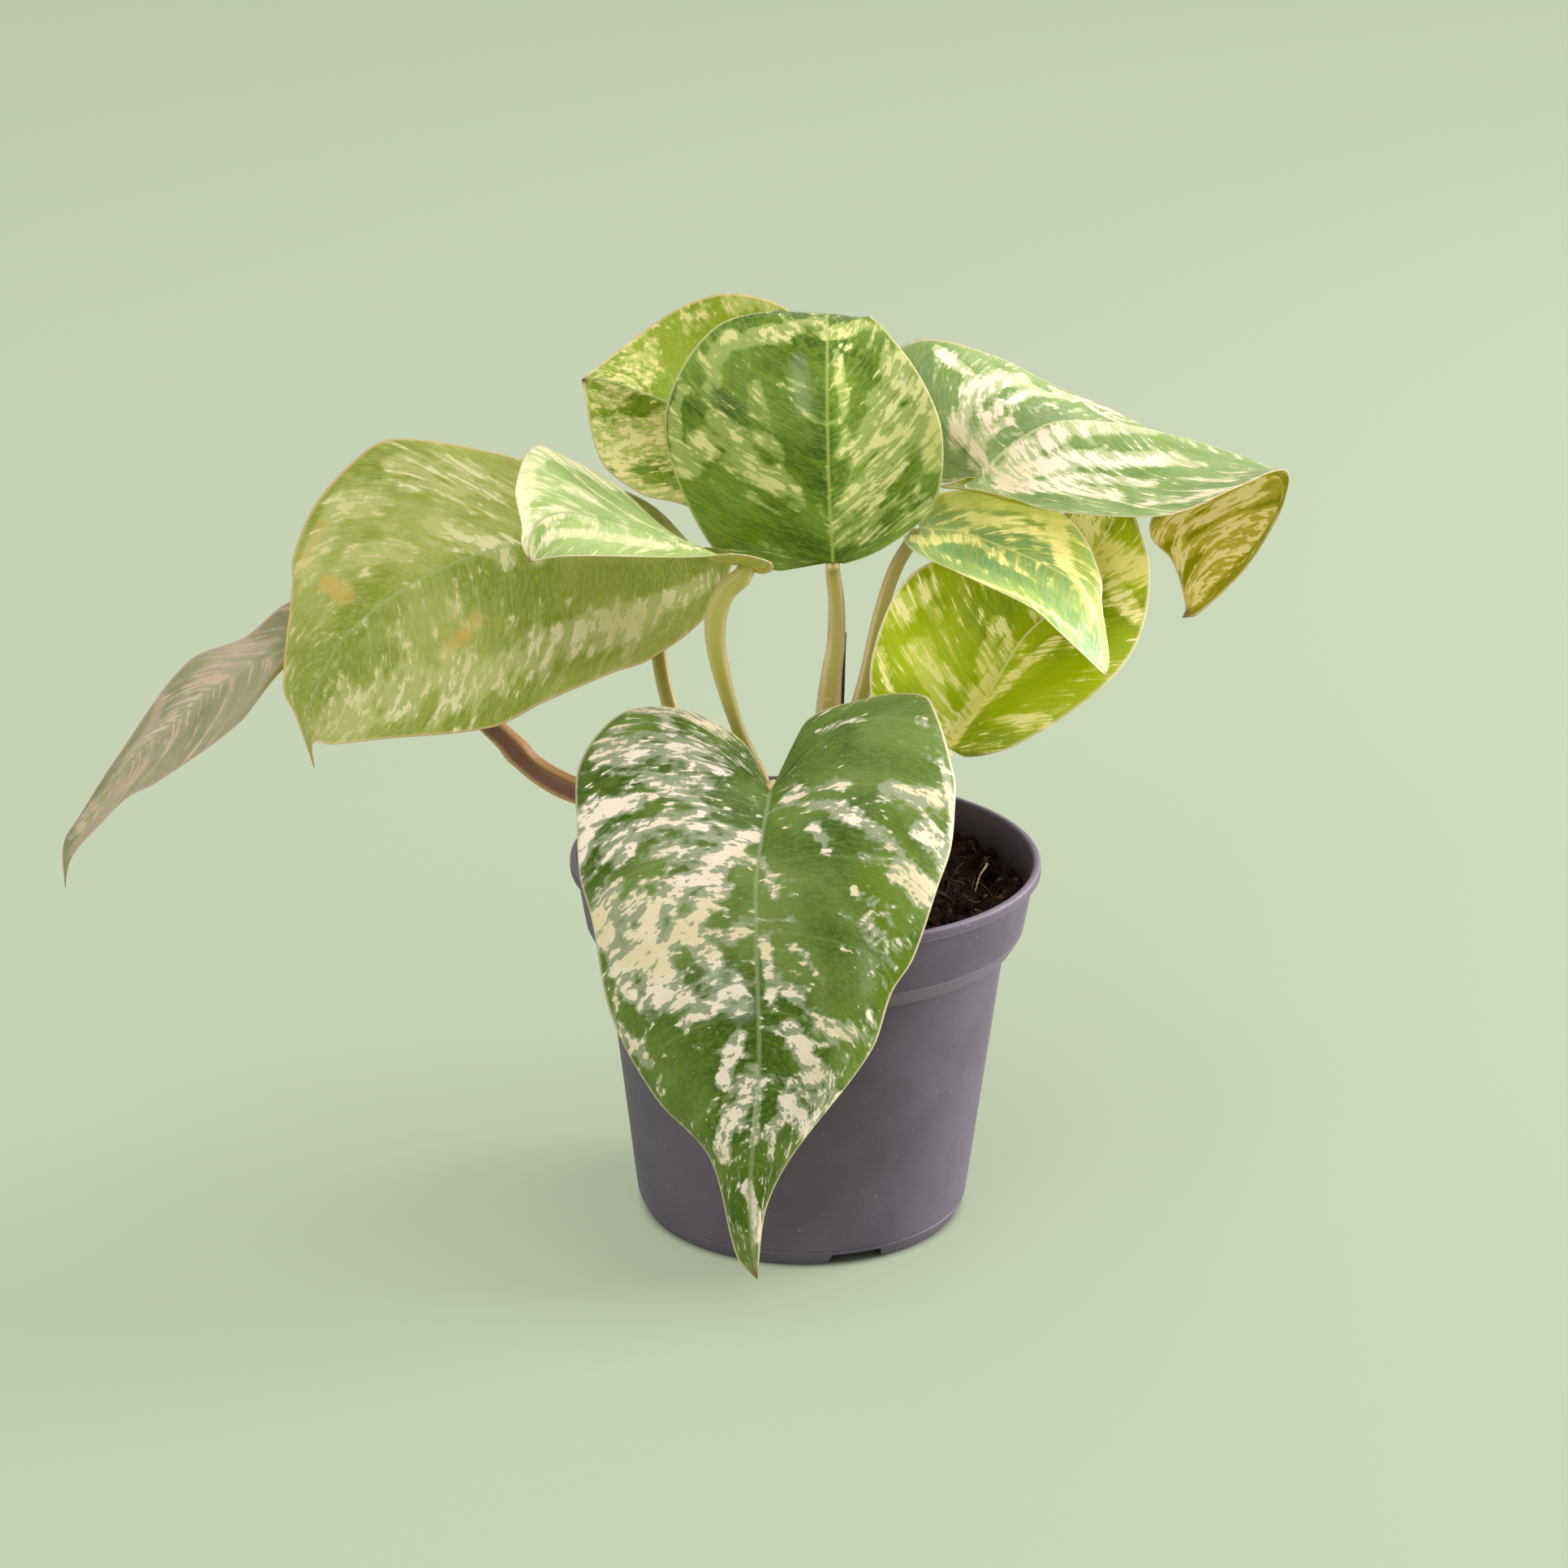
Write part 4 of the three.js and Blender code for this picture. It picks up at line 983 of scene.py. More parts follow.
def up_at(leaf, side, shares):
    """The upward direction of one half of the blade at these shares."""
    middle = np.clip(shares, VEIN_END, 1 - VEIN_END)
    edge = margin(leaf, side)
    onward = (
        vein_root(leaf, side, middle + SLOPE_STEP) - vein_root(leaf, side, middle - SLOPE_STEP)
        + along(edge, middle + SLOPE_STEP) - along(edge, middle - SLOPE_STEP)
    )
    outward = along(edge, middle) - vein_root(leaf, side, middle)
    up = np.cross(outward, onward) if side == 0 else np.cross(onward, outward)
    return up / np.linalg.norm(up, axis=-1)[..., None]


def half_blade(leaf, side, shares, outs):
    """The middle surface of one half as a grid of points, with each vein's length and upward direction."""
    root, edge = vein_root(leaf, side, shares), along(margin(leaf, side), shares)
    up = up_at(leaf, side, shares)
    length = np.linalg.norm(edge - root, axis=-1)
    arch = np.interp(shares, ARCH_STATIONS, leaf["arch"][side])
    arch = np.clip(arch, -ARCH_LIMIT * length, ARCH_LIMIT * length)
    out = outs[None, :, None]
    points = root[:, None] * (1 - out) + edge[:, None] * out
    points = points + up[:, None] * (arch[:, None, None] * 4 * out * (1 - out))
    return points, length, up


sample, _, _ = half_blade(LEAVES["leaf_front"], 0, np.array([0.5]), np.array([0.0, 1.0]))
print("middle vein of the front leaf:", sample.round(1).tolist())

# %% [markdown]
# ### Relief
#
# The blade is half a millimetre thick, thinner at its margin, and has a shallow groove over the midrib and a
# keel under it. Between two side veins the skin swells slightly. These forms are real shape, because they
# catch the soft light in bands, so each point is moved along the upward direction of its vein.

# %% Blade mesh
FIRST_SHARE = 0.03
FAN_ROWS, BODY_ROWS = 40, 110
OUTS = np.concatenate([np.linspace(0, 0.1, 7)[:-1], np.linspace(0.1, 0.92, 24), np.linspace(0.92, 1, 6)[1:]])
SIDE_VEINS = 9.5
VEIN_SWEEP = 0.09
THICKNESS = 0.52
EDGE_THICKNESS = 0.22
SWELL = 0.16
GROOVE_DEPTH = 0.32
GROOVE_WIDTH = 0.9
KEEL = 0.85
KEEL_WIDTH = 1.1


def row_shares(leaf, side):
    """The shares of the rows: the first fan out of the petiole, the rest leave the midrib in pairs."""
    fan = leaf["lobe"][side]
    first, rest = np.linspace(FIRST_SHARE, fan, FAN_ROWS + 1), np.linspace(fan, 1, BODY_ROWS + 1)
    return np.concatenate([first, rest[1:]])


def blade_layers(leaf):
    """The upper and lower skins of both halves as grids, and the facts of each point of a half."""
    body = np.concatenate([np.full(FAN_ROWS, -0.2), np.linspace(0, 1, BODY_ROWS + 1)])
    halves = [half_blade(leaf, side, row_shares(leaf, side), OUTS) for side in (0, 1)]
    middle_up = halves[0][2] + halves[1][2]
    middle_up /= np.linalg.norm(middle_up, axis=1)[:, None]
    middle_up[:FAN_ROWS] = middle_up[FAN_ROWS]
    turn_out = smoothstep(0, 0.15, OUTS)[None, :, None]
    fade = (np.clip((1 - body) * 6, 0, 1) * smoothstep(-0.01, 0.07, body))[:, None]
    layers, facts = [], []
    for side, (grid, length, up) in enumerate(halves):
        shares = row_shares(leaf, side)
        distance = OUTS[None, :] * length[:, None]
        vein = shares[:, None] - VEIN_SWEEP * OUTS[None, :] ** 2
        room = np.clip(length[:, None] / 12, 0, 1) * np.sin(math.pi * OUTS[None, :]) ** 0.7
        swell = SWELL * room * np.sin(math.pi * SIDE_VEINS * vein) ** 2
        groove = GROOVE_DEPTH * np.exp(-((distance / GROOVE_WIDTH) ** 2)) * fade
        keel = KEEL * np.exp(-((distance / KEEL_WIDTH) ** 2)) * fade * (1 - 0.7 * body[:, None])
        from_edge = length[:, None] - distance
        thick = (EDGE_THICKNESS + (THICKNESS - EDGE_THICKNESS) * smoothstep(0, 2.5, from_edge)) / 2
        blade_up = middle_up[:, None] * (1 - turn_out) + up[:, None] * turn_out
        over, below = (thick + swell - groove)[..., None], (thick - swell + keel)[..., None]
        layers.append([grid + blade_up * over, grid - blade_up * below])
        known = (shares[:, None], OUTS[None, :] * (1 if side else -1), length[:, None])
        facts.append(np.stack([np.broadcast_to(fact, distance.shape) for fact in known], axis=-1))
    return layers, facts


rows, columns = FAN_ROWS + BODY_ROWS + 1, len(OUTS)
print("rows:", rows, "points across a half:", columns)

# %% Closing the blade
def blade_faces():
    """The quads over four grids in the order of side and face, and where shared points are kept."""
    size = rows * columns
    keep = np.arange(4 * size).reshape(2, 2, rows, columns)
    for face in (0, 1):
        keep[:, face, :, 0] = keep[0, face, :, 0]
        keep[:, face, :FAN_ROWS, 0] = keep[0, face, FAN_ROWS, 0]
        keep[:, face, -1, :] = keep[0, face, -1, 0]
    own = np.arange(4 * size).reshape(2, 2, rows, columns)
    quads = []
    for side in (0, 1):
        for face in (0, 1):
            grid = own[side, face]
            corners = [grid[:-1, :-1], grid[:-1, 1:], grid[1:, 1:], grid[1:, :-1]]
            sheet = np.stack(corners, axis=-1).reshape(-1, 4)
            quads.append(sheet if side == face else sheet[:, ::-1])
        top, low = own[side, 0], own[side, 1]
        edge = np.stack([top[:-1, -1], low[:-1, -1], low[1:, -1], top[1:, -1]], axis=-1)
        start = np.stack([top[0, :-1], low[0, :-1], low[0, 1:], top[0, 1:]], axis=-1)
        quads.append(edge[:, ::-1] if side else edge)
        quads.append(start if side else start[:, ::-1])
    quads = np.vstack(quads)
    kept = keep.reshape(-1)[quads]
    faces, corners = [], []
    for own_row, kept_row in zip(quads.tolist(), kept.tolist()):
        wanted = [k for k in range(4) if kept_row[k] != kept_row[k - 1]]
        if len(wanted) > 2 and len({kept_row[k] for k in wanted}) == len(wanted):
            faces.append([kept_row[k] for k in wanted])
            corners.append([own_row[k] for k in wanted])
    used = np.unique(np.concatenate([np.array(face) for face in faces]))
    order = np.full(4 * size, -1)
    order[used] = np.arange(len(used))
    return [[int(order[k]) for k in face] for face in faces], corners, used


BLADE_FACES, BLADE_CORNERS, BLADE_USED = blade_faces()
print("faces of a blade:", len(BLADE_FACES))

# %% [markdown]
# ### Where the cream lies
#
# No two leaves of a marble queen are marked alike, so each leaf gets its own short list of strokes, laid
# beside the photograph. They say only where a leaf is cream, where light shines through it in yellow (glow),
# where it is dark green, partly its own colour and partly painted shade cast by other leaves and by folds,
# and where a painted sheen stands for its gloss catching the light. The streaks inside them come from noise
# along the veins in the material.

# %% Strokes
# Each stroke: start x and y, end x and y, half width, all in photo pixels, and how full it is.
STROKES = {
    "leaf_front": {
        "cream": [
            (765, 920, 860, 950, 38, 0.34), (745, 1030, 880, 1040, 36, 0.36),
            (760, 1130, 880, 1130, 42, 0.38), (800, 1230, 900, 1225, 26, 0.34),
            (905, 1380, 925, 1330, 16, 0.34), (1000, 1300, 1010, 1380, 20, 0.3),
            (780, 876, 890, 903, 9, 0.62), (732, 936, 785, 941, 8, 0.7), (789, 928, 852, 922, 8, 0.6),
            (794, 960, 857, 989, 8, 0.62), (818, 880, 857, 936, 9, 0.55), (717, 1003, 780, 994, 13, 0.78),
            (722, 1030, 716, 1060, 9, 0.8), (794, 1013, 866, 1022, 8, 0.66),
            (929, 1032, 860, 1080, 10, 0.9), (860, 1080, 794, 1129, 12, 0.88),
            (905, 1056, 857, 1138, 9, 0.72), (736, 1129, 770, 1196, 14, 0.84),
            (794, 1167, 828, 1225, 22, 1), (838, 1148, 881, 1186, 13, 0.8), (842, 1262, 857, 1249, 8, 0.6),
            (760, 1200, 790, 1240, 10, 0.72), (796, 1176, 806, 1206, 9, 0.75),
            (761, 1263, 799, 1312, 9, 0.55), (891, 1331, 910, 1278, 9, 0.82),
            (891, 1422, 919, 1350, 10, 0.82), (870, 1250, 900, 1225, 10, 0.7),
            (968, 984, 1035, 998, 8, 0.5), (1035, 998, 1083, 1032, 11, 0.62),
            (1093, 974, 1155, 989, 12, 0.62), (1083, 1032, 1112, 1050, 8, 0.5),
            (1112, 1071, 1146, 1100, 13, 0.8), (1130, 1020, 1160, 1050, 12, 0.5),
            (1006, 1018, 1016, 1047, 7, 0.7), (1160, 941, 1175, 1032, 5, 0.75),
            (1135, 884, 1137, 886, 6, 0.8), (1011, 902, 1064, 888, 6, 0.6),
            (1054, 1100, 1074, 1110, 8, 0.85), (1064, 1119, 1078, 1162, 3, 0.5),
            (1021, 1153, 1035, 1167, 7, 0.5), (939, 1056, 958, 1109, 5, 0.5),
            (939, 1157, 948, 1225, 6, 0.72), (977, 1162, 1006, 1196, 5, 0.6),
            (958, 1206, 1006, 1263, 10, 0.5), (1006, 1263, 1045, 1273, 10, 0.45),
            (982, 1287, 1005, 1331, 12, 0.8), (968, 1360, 997, 1393, 12, 0.85),
            (948, 1400, 968, 1370, 9, 0.6), (934, 1340, 929, 1408, 5, 0.5),
            (1021, 1345, 1035, 1350, 6, 0.75), (920, 1462, 934, 1528, 6, 0.85),
            (975, 1262, 985, 1280, 9, 0.7),
        ],
        "glow": [
            (1082, 1000, 1130, 1130, 18, 0.5), (1076, 1082, 1098, 1222, 22, 0.85),
            (1040, 1250, 1060, 1300, 14, 0.6), (928, 1440, 926, 1500, 9, 0.55),
            (890, 1010, 870, 1060, 10, 0.3),
        ],
        "dark": [
            (985, 930, 1130, 872, 16, 0.6), (1000, 940, 1150, 955, 16, 0.7),
            (962, 1044, 1060, 1100, 22, 0.8), (870, 1312, 836, 1366, 18, 0.55),
            (882, 1150, 916, 1102, 12, 0.55), (1000, 1110, 1040, 1220, 20, 0.6),
            (812, 1300, 870, 1300, 14, 0.3), (1008, 1298, 1020, 1298, 7, 1), (745, 890, 760, 886, 10, 0.5),
        ],
        "painted_sheen": [(885, 1205, 912, 1240, 20, 0.4), (1068, 1176, 1072, 1214, 14, 0.26)],
    },
    "leaf_centre": {
        "cream": [
            (850, 575, 872, 540, 18, 0.48), (880, 470, 890, 430, 12, 0.4), (900, 420, 1000, 396, 15, 0.56),
            (930, 480, 985, 620, 14, 0.36), (880, 520, 960, 600, 16, 0.46),
            (1042, 640, 1118, 520, 26, 0.52), (1052, 560, 1110, 450, 22, 0.52),
            (1130, 472, 1150, 570, 12, 0.62), (1062, 652, 1130, 620, 16, 0.46),
            (1032, 440, 1042, 560, 7, 0.45), (840, 480, 838, 560, 8, 0.6), (990, 400, 1060, 400, 12, 0.5),
        ],
        "glow": [(960, 392, 1060, 398, 12, 0.5), (1060, 420, 1120, 470, 12, 0.4)],
        "dark": [
            (950, 440, 990, 560, 14, 0.45), (930, 642, 1000, 672, 18, 0.8), (850, 600, 920, 660, 14, 0.6),
            (1035, 600, 1060, 480, 8, 0.4), (1080, 650, 1130, 620, 12, 0.4),
        ],
        "painted_sheen": [(984, 446, 990, 500, 13, 0.34), (1108, 458, 1114, 482, 10, 0.28)],
    },
    "leaf_back": {
        "cream": [
            (742, 482, 790, 430, 26, 0.4), (850, 400, 880, 384, 12, 0.3), (900, 376, 952, 372, 14, 0.42),
            (742, 545, 828, 540, 32, 0.6), (770, 592, 828, 612, 18, 0.58),
        ],
        "glow": [(800, 430, 850, 440, 24, 0.25), (880, 390, 940, 380, 12, 0.5)],
    },
    "leaf_back_right": {
        "cream": [
            (1156, 432, 1186, 456, 9, 0.9), (1184, 545, 1220, 478, 10, 0.82),
            (1200, 482, 1262, 468, 14, 0.92), (1200, 570, 1244, 520, 8, 0.66),
            (1216, 580, 1320, 488, 8, 0.58), (1232, 585, 1400, 522, 12, 0.62),
            (1240, 590, 1450, 568, 13, 0.78), (1240, 602, 1370, 612, 12, 0.92),
            (1382, 562, 1480, 575, 9, 0.64), (1340, 500, 1530, 558, 6, 0.7),
            (1296, 478, 1380, 508, 7, 0.64), (1400, 622, 1530, 606, 4, 0.6),
            (1250, 560, 1330, 530, 10, 0.6), (1300, 590, 1420, 598, 9, 0.7),
            (1450, 590, 1520, 592, 5, 0.45),
        ],
        "dark": [
            (1130, 442, 1150, 560, 18, 0.85), (1440, 548, 1550, 575, 8, 0.6),
            (1225, 450, 1290, 480, 6, 0.5), (1170, 590, 1200, 570, 6, 0.4),
        ],
        "cream_under": [
            (1430, 655, 1575, 592, 18, 0.62), (1470, 735, 1565, 640, 16, 0.6),
            (1450, 690, 1540, 640, 14, 0.55),
        ],
    },
    "leaf_right": {
        "cream": [
            (1180, 612, 1300, 640, 16, 0.52), (1300, 652, 1350, 750, 13, 0.9),
            (1128, 666, 1200, 664, 8, 0.72), (1180, 718, 1350, 812, 5, 0.82),
            (1200, 640, 1300, 668, 9, 0.62), (1210, 672, 1300, 742, 5, 0.5), (1330, 780, 1355, 815, 6, 0.6),
        ],
        "glow": [(1170, 605, 1300, 640, 22, 0.8), (1310, 660, 1350, 740, 12, 0.4)],
        "dark": [(1168, 676, 1270, 722, 10, 0.95), (1270, 722, 1346, 806, 12, 0.95)],
    },
    "leaf_low_right": {
        "cream": [
            (1172, 912, 1240, 800, 12, 0.82), (1182, 900, 1300, 790, 9, 0.78),
            (1170, 900, 1130, 800, 16, 0.45), (1102, 760, 1150, 722, 13, 0.32),
            (1342, 652, 1400, 700, 22, 0.88), (1372, 722, 1400, 760, 12, 0.64),
            (1210, 892, 1290, 888, 6, 0.6), (1084, 800, 1092, 850, 5, 0.7), (1210, 820, 1230, 770, 12, 0.6),
        ],
        "glow": [(1112, 752, 1180, 862, 34, 0.6), (1232, 880, 1380, 792, 22, 0.75)],
        "dark": [(1195, 902, 1388, 772, 14, 0.8), (1120, 850, 1150, 880, 12, 0.5)],
    },
    "leaf_left": {
        "cream": [
            (402, 900, 560, 822, 30, 0.46), (560, 850, 800, 762, 28, 0.5), (722, 772, 862, 722, 16, 0.76),
            (382, 702, 420, 622, 16, 0.52), (450, 622, 620, 602, 22, 0.36), (532, 642, 622, 690, 14, 0.56),
            (440, 690, 500, 680, 16, 0.4), (480, 570, 600, 580, 10, 0.4),
        ],
        "glow": [
            (405, 720, 426, 736, 12, 0.9), (552, 802, 586, 762, 9, 0.9), (374, 700, 400, 642, 8, 0.8),
            (476, 572, 492, 578, 7, 0.5),
        ],
        # The first dark stroke is partly painted shadow cast by the inner left leaf.
        "dark": [(640, 722, 850, 702, 20, 0.7), (430, 800, 470, 870, 12, 0.4)],
    },
    "leaf_far_left": {
        "cream": [
            (170, 940, 300, 800, 16, 0.55), (220, 900, 330, 800, 10, 0.45), (100, 1020, 160, 960, 8, 0.6),
        ],
        "glow": [(150, 950, 200, 860, 6, 0.7), (290, 800, 340, 790, 6, 0.6), (90, 1050, 140, 980, 6, 0.6)],
    },
    "leaf_inner_left": {
        "cream": [
            (650, 572, 650, 684, 11, 0.84), (662, 562, 760, 600, 12, 0.55), (682, 662, 820, 675, 10, 0.64),
            (700, 600, 830, 664, 8, 0.4), (660, 640, 720, 640, 12, 0.45),
        ],
        "dark": [(740, 620, 820, 662, 8, 0.4)],
    },
}
print("leaves with strokes:", len(STROKES))

# %% [markdown]
# A stroke has to lie on the leaf itself, so that it is right from every side. Its ends are looked up
# through the camera: the point of the leaf that is seen nearest to the pixel gives the share along and the
# distance out. Only skin whose upper side faces the camera counts, but for the strokes named cream_under,
# which lie on the underside that the photograph shows.

# %% Finding the strokes
LOOKUP_SHARES, LOOKUP_OUTS = np.linspace(FIRST_SHARE, 1, 160), np.linspace(0, 1, 50)
HIDDEN_COST = 400
STROKE_STEPS = 9
STROKE_FADE = (0.55, 1.45)


def seen_halves(leaf):
    """Both halves of a leaf through the camera: the pixels of its points, and which of them face it."""
    halves = []
    for side in (0, 1):
        points, _, up = half_blade(leaf, side, LOOKUP_SHARES, LOOKUP_OUTS)
        away = points - np.array(AIM - DISTANCE * forward)
        depth = away @ np.array(forward)
        x = PHOTO_SIDE / 2 + FOCAL_PIXELS * (away @ np.array(cam_right)) / depth
        y = PHOTO_SIDE / 2 - FOCAL_PIXELS * (away @ np.array(cam_up)) / depth
        halves.append((x, y, (up[:, None] * away).sum(axis=-1) < 0))
    return halves


def find_spot(halves, x, y, underside):
    """The share along and the signed distance out of the leaf's point that is seen nearest to a pixel."""
    best = (math.inf, 0, 0)
    for side, (seen_x, seen_y, faces_camera) in enumerate(halves):
        miss = np.hypot(seen_x - x, seen_y - y)
        if not underside:
            miss = miss + HIDDEN_COST * ~faces_camera
        row, column = np.unravel_index(np.argmin(miss), miss.shape)
        if miss[row, column] < best[0]:
            best = (miss[row, column], LOOKUP_SHARES[row], LOOKUP_OUTS[column] * (1 if side else -1))
    return best[1:]


def stroke_line(leaf, start, end):
    """Points on the middle surface along a stroke between two spots."""
    points = []
    for w in np.linspace(0, 1, STROKE_STEPS):
        share, out = (a + (b - a) * w for a, b in zip(start, end))
        grid, _, _ = half_blade(leaf, 1 if out > 0 else 0, np.array([share]), np.array([abs(out)]))
        points.append(grid[0, 0])
    return points


def placed(leaf, strokes, underside=False):
    """Each stroke as its line of points on the leaf, its half width in mm and how full it is."""
    halves = seen_halves(leaf)
    found = []
    for start_x, start_y, end_x, end_y, half_width, amount in strokes:
        ends = [find_spot(halves, x, y, underside) for x, y in ((start_x, start_y), (end_x, end_y))]
        found.append((stroke_line(leaf, *ends), half_width * DISTANCE / FOCAL_PIXELS, amount))
    return found


def painted(grid, placed_strokes):
    """How full the strokes are at each point of a grid, from 0 to 1."""
    flat = grid.reshape(-1, 3)
    full = np.zeros(len(flat))
    for line, half_width, amount in placed_strokes:
        nearest = np.full(len(flat), np.inf)
        for a, b in zip(line[:-1], line[1:]):
            step = b - a
            t = np.clip((flat - a) @ step / max(step @ step, 1e-9), 0, 1)
            nearest = np.minimum(nearest, np.linalg.norm(flat - a - t[:, None] * step, axis=1))
        fade_start, fade_end = (share * half_width for share in STROKE_FADE)
        full = np.maximum(full, amount * (1 - smoothstep(fade_start, fade_end, nearest)))
    return full.reshape(grid.shape[:-1])


print("strokes of the front leaf:", len(placed(LEAVES["leaf_front"], STROKES["leaf_front"]["cream"])))

# %% [markdown]
# ### Marbling, a group that all nine leaves use
#
# The group reads the share along, the signed distance out and the painted fullness. It stretches noise
# along the veins, so that the edge of each cream patch breaks into streaks as it does on the real leaf,
# and also gives long pale streaks for the green, fine flecks and the thin side veins.

# %% Group: marbling
marbling, g_in, g_out = new_group(
    "vein_marbling",
    {"Veins": None, "Painted": 0.0, "Seed": 0.0, "Streak Count": 30.0, "Streak Length": 3.0, "Contrast": 1.0,
     "Sweep": VEIN_SWEEP},
    ["Cream", "Pale", "Fine", "Yellow", "Side Veins", "Signed Out"],
)
given = g_in.outputs
SIDE_SHIFT = 7.3
share, across_share, _ = split_place(marbling, given["Veins"])
signed_out = math_node(marbling, "MULTIPLY_ADD", across_share, 2.0, -1.0)
out_size = math_node(marbling, "ABSOLUTE", signed_out)
out_square = times(marbling, out_size, out_size)
swept = math_node(marbling, "MULTIPLY_ADD", out_square, -VEIN_SWEEP, share)
streaked = math_node(marbling, "SUBTRACT", share, times(marbling, out_square, given["Sweep"]))
side_step = times(marbling, math_node(marbling, "GREATER_THAN", signed_out, 0.0), SIDE_SHIFT)
seed = math_node(marbling, "ADD", side_step, given["Seed"])


def vein_noise(finer, shift, detail, roughness=0.6):
    """Noise stretched along the veins. finer is how many times finer than the coarsest streaks."""
    x = times(marbling, times(marbling, streaked, given["Streak Count"]), finer)
    y = times(marbling, times(marbling, out_size, given["Streak Length"]), finer)
    shifted = {"X": x, "Y": y, "Z": math_node(marbling, "ADD", seed, shift)}
    place = add_node(marbling, "ShaderNodeCombineXYZ", shifted).outputs[0]
    return noise_node(marbling, place, 1.0, detail, roughness, 0.35)


def pushed(total, *noises):
    """A total plus, for each noise, how far it stands from its middle times an amount and the contrast."""
    for value, amount in noises:
        away = times(marbling, math_node(marbling, "SUBTRACT", value, 0.5), amount)
        total = math_node(marbling, "ADD", total, times(marbling, away, given["Contrast"]))
    return total


broad = vein_noise(1.0, 0.0, 2.0, 0.5)
middle_size = vein_noise(2.2, 3.1, 2.0, 0.5)
fine = vein_noise(5.0, 6.7, 2.0)
blotches = noise_node(marbling, object_place(marbling), 230.0, 2.0, 0.55, 0.5)
tint = pushed(given["Painted"], (broad, 1.3), (middle_size, 0.9), (blotches, 0.7))
fullness = pushed(given["Painted"], (broad, 1.5), (middle_size, 2.7), (fine, 1.2), (blotches, 1.3))
wander = times(marbling, broad, 0.16)
vein_count = math_node(marbling, "MULTIPLY_ADD", swept, SIDE_VEINS, wander)
vein_wave = math_node(marbling, "PINGPONG", vein_count, 0.5)
results = {
    "Cream": ramp_node(marbling, fullness, 0.44, 0.68), "Pale": ramp_node(marbling, tint, 0.06, 0.34),
    "Fine": ramp_node(marbling, fine, 0.40, 0.64),
    "Side Veins": ramp_node(marbling, vein_wave, 0.008, 0.035, 1.0, 0.0),
    "Yellow": ramp_node(marbling, vein_noise(1.5, 11.3, 3.0), 0.50, 0.60), "Signed Out": signed_out,
}
for label, value in results.items():
    marbling.links.new(value, g_out.inputs[label])
print("group:", marbling.name)

# %% [markdown]
# ### Leaf finish
#
# A leaf is dark or mid green under pale yellow-green streaks, with cream where it holds no green at all.
# Cream skin is a little warmer in soft patches. The midrib is a thin pale line, the margin a thinner one,
# and the underside is duller and more olive. The skin has the soft gloss of wax.
# Where the dark marks lie, the tone is pulled to deep green: partly the leaf's own colour, partly painted
# shade. A bluish-white painted sheen stands for the gloss catching the light. Some leaves also shine faintly
# by emission in their own tone, painted light for light that passes through them, and the saturated yellow of
# the underside stands partly for the same light.

# %% Leaf material
# The colour of the painted sheen, a highlight where the gloss catches the light.
PAINTED_SHEEN_COLOUR = linear(206, 216, 208)
# The dark marks pull the tone to deep green and hold back the cream: partly the leaf's own dark green, partly
# painted shade from leaves above and from folds.
DARK_PULL, DARK_AMOUNT = -0.55, 0.7
LEAF_SPECULAR = 0.18


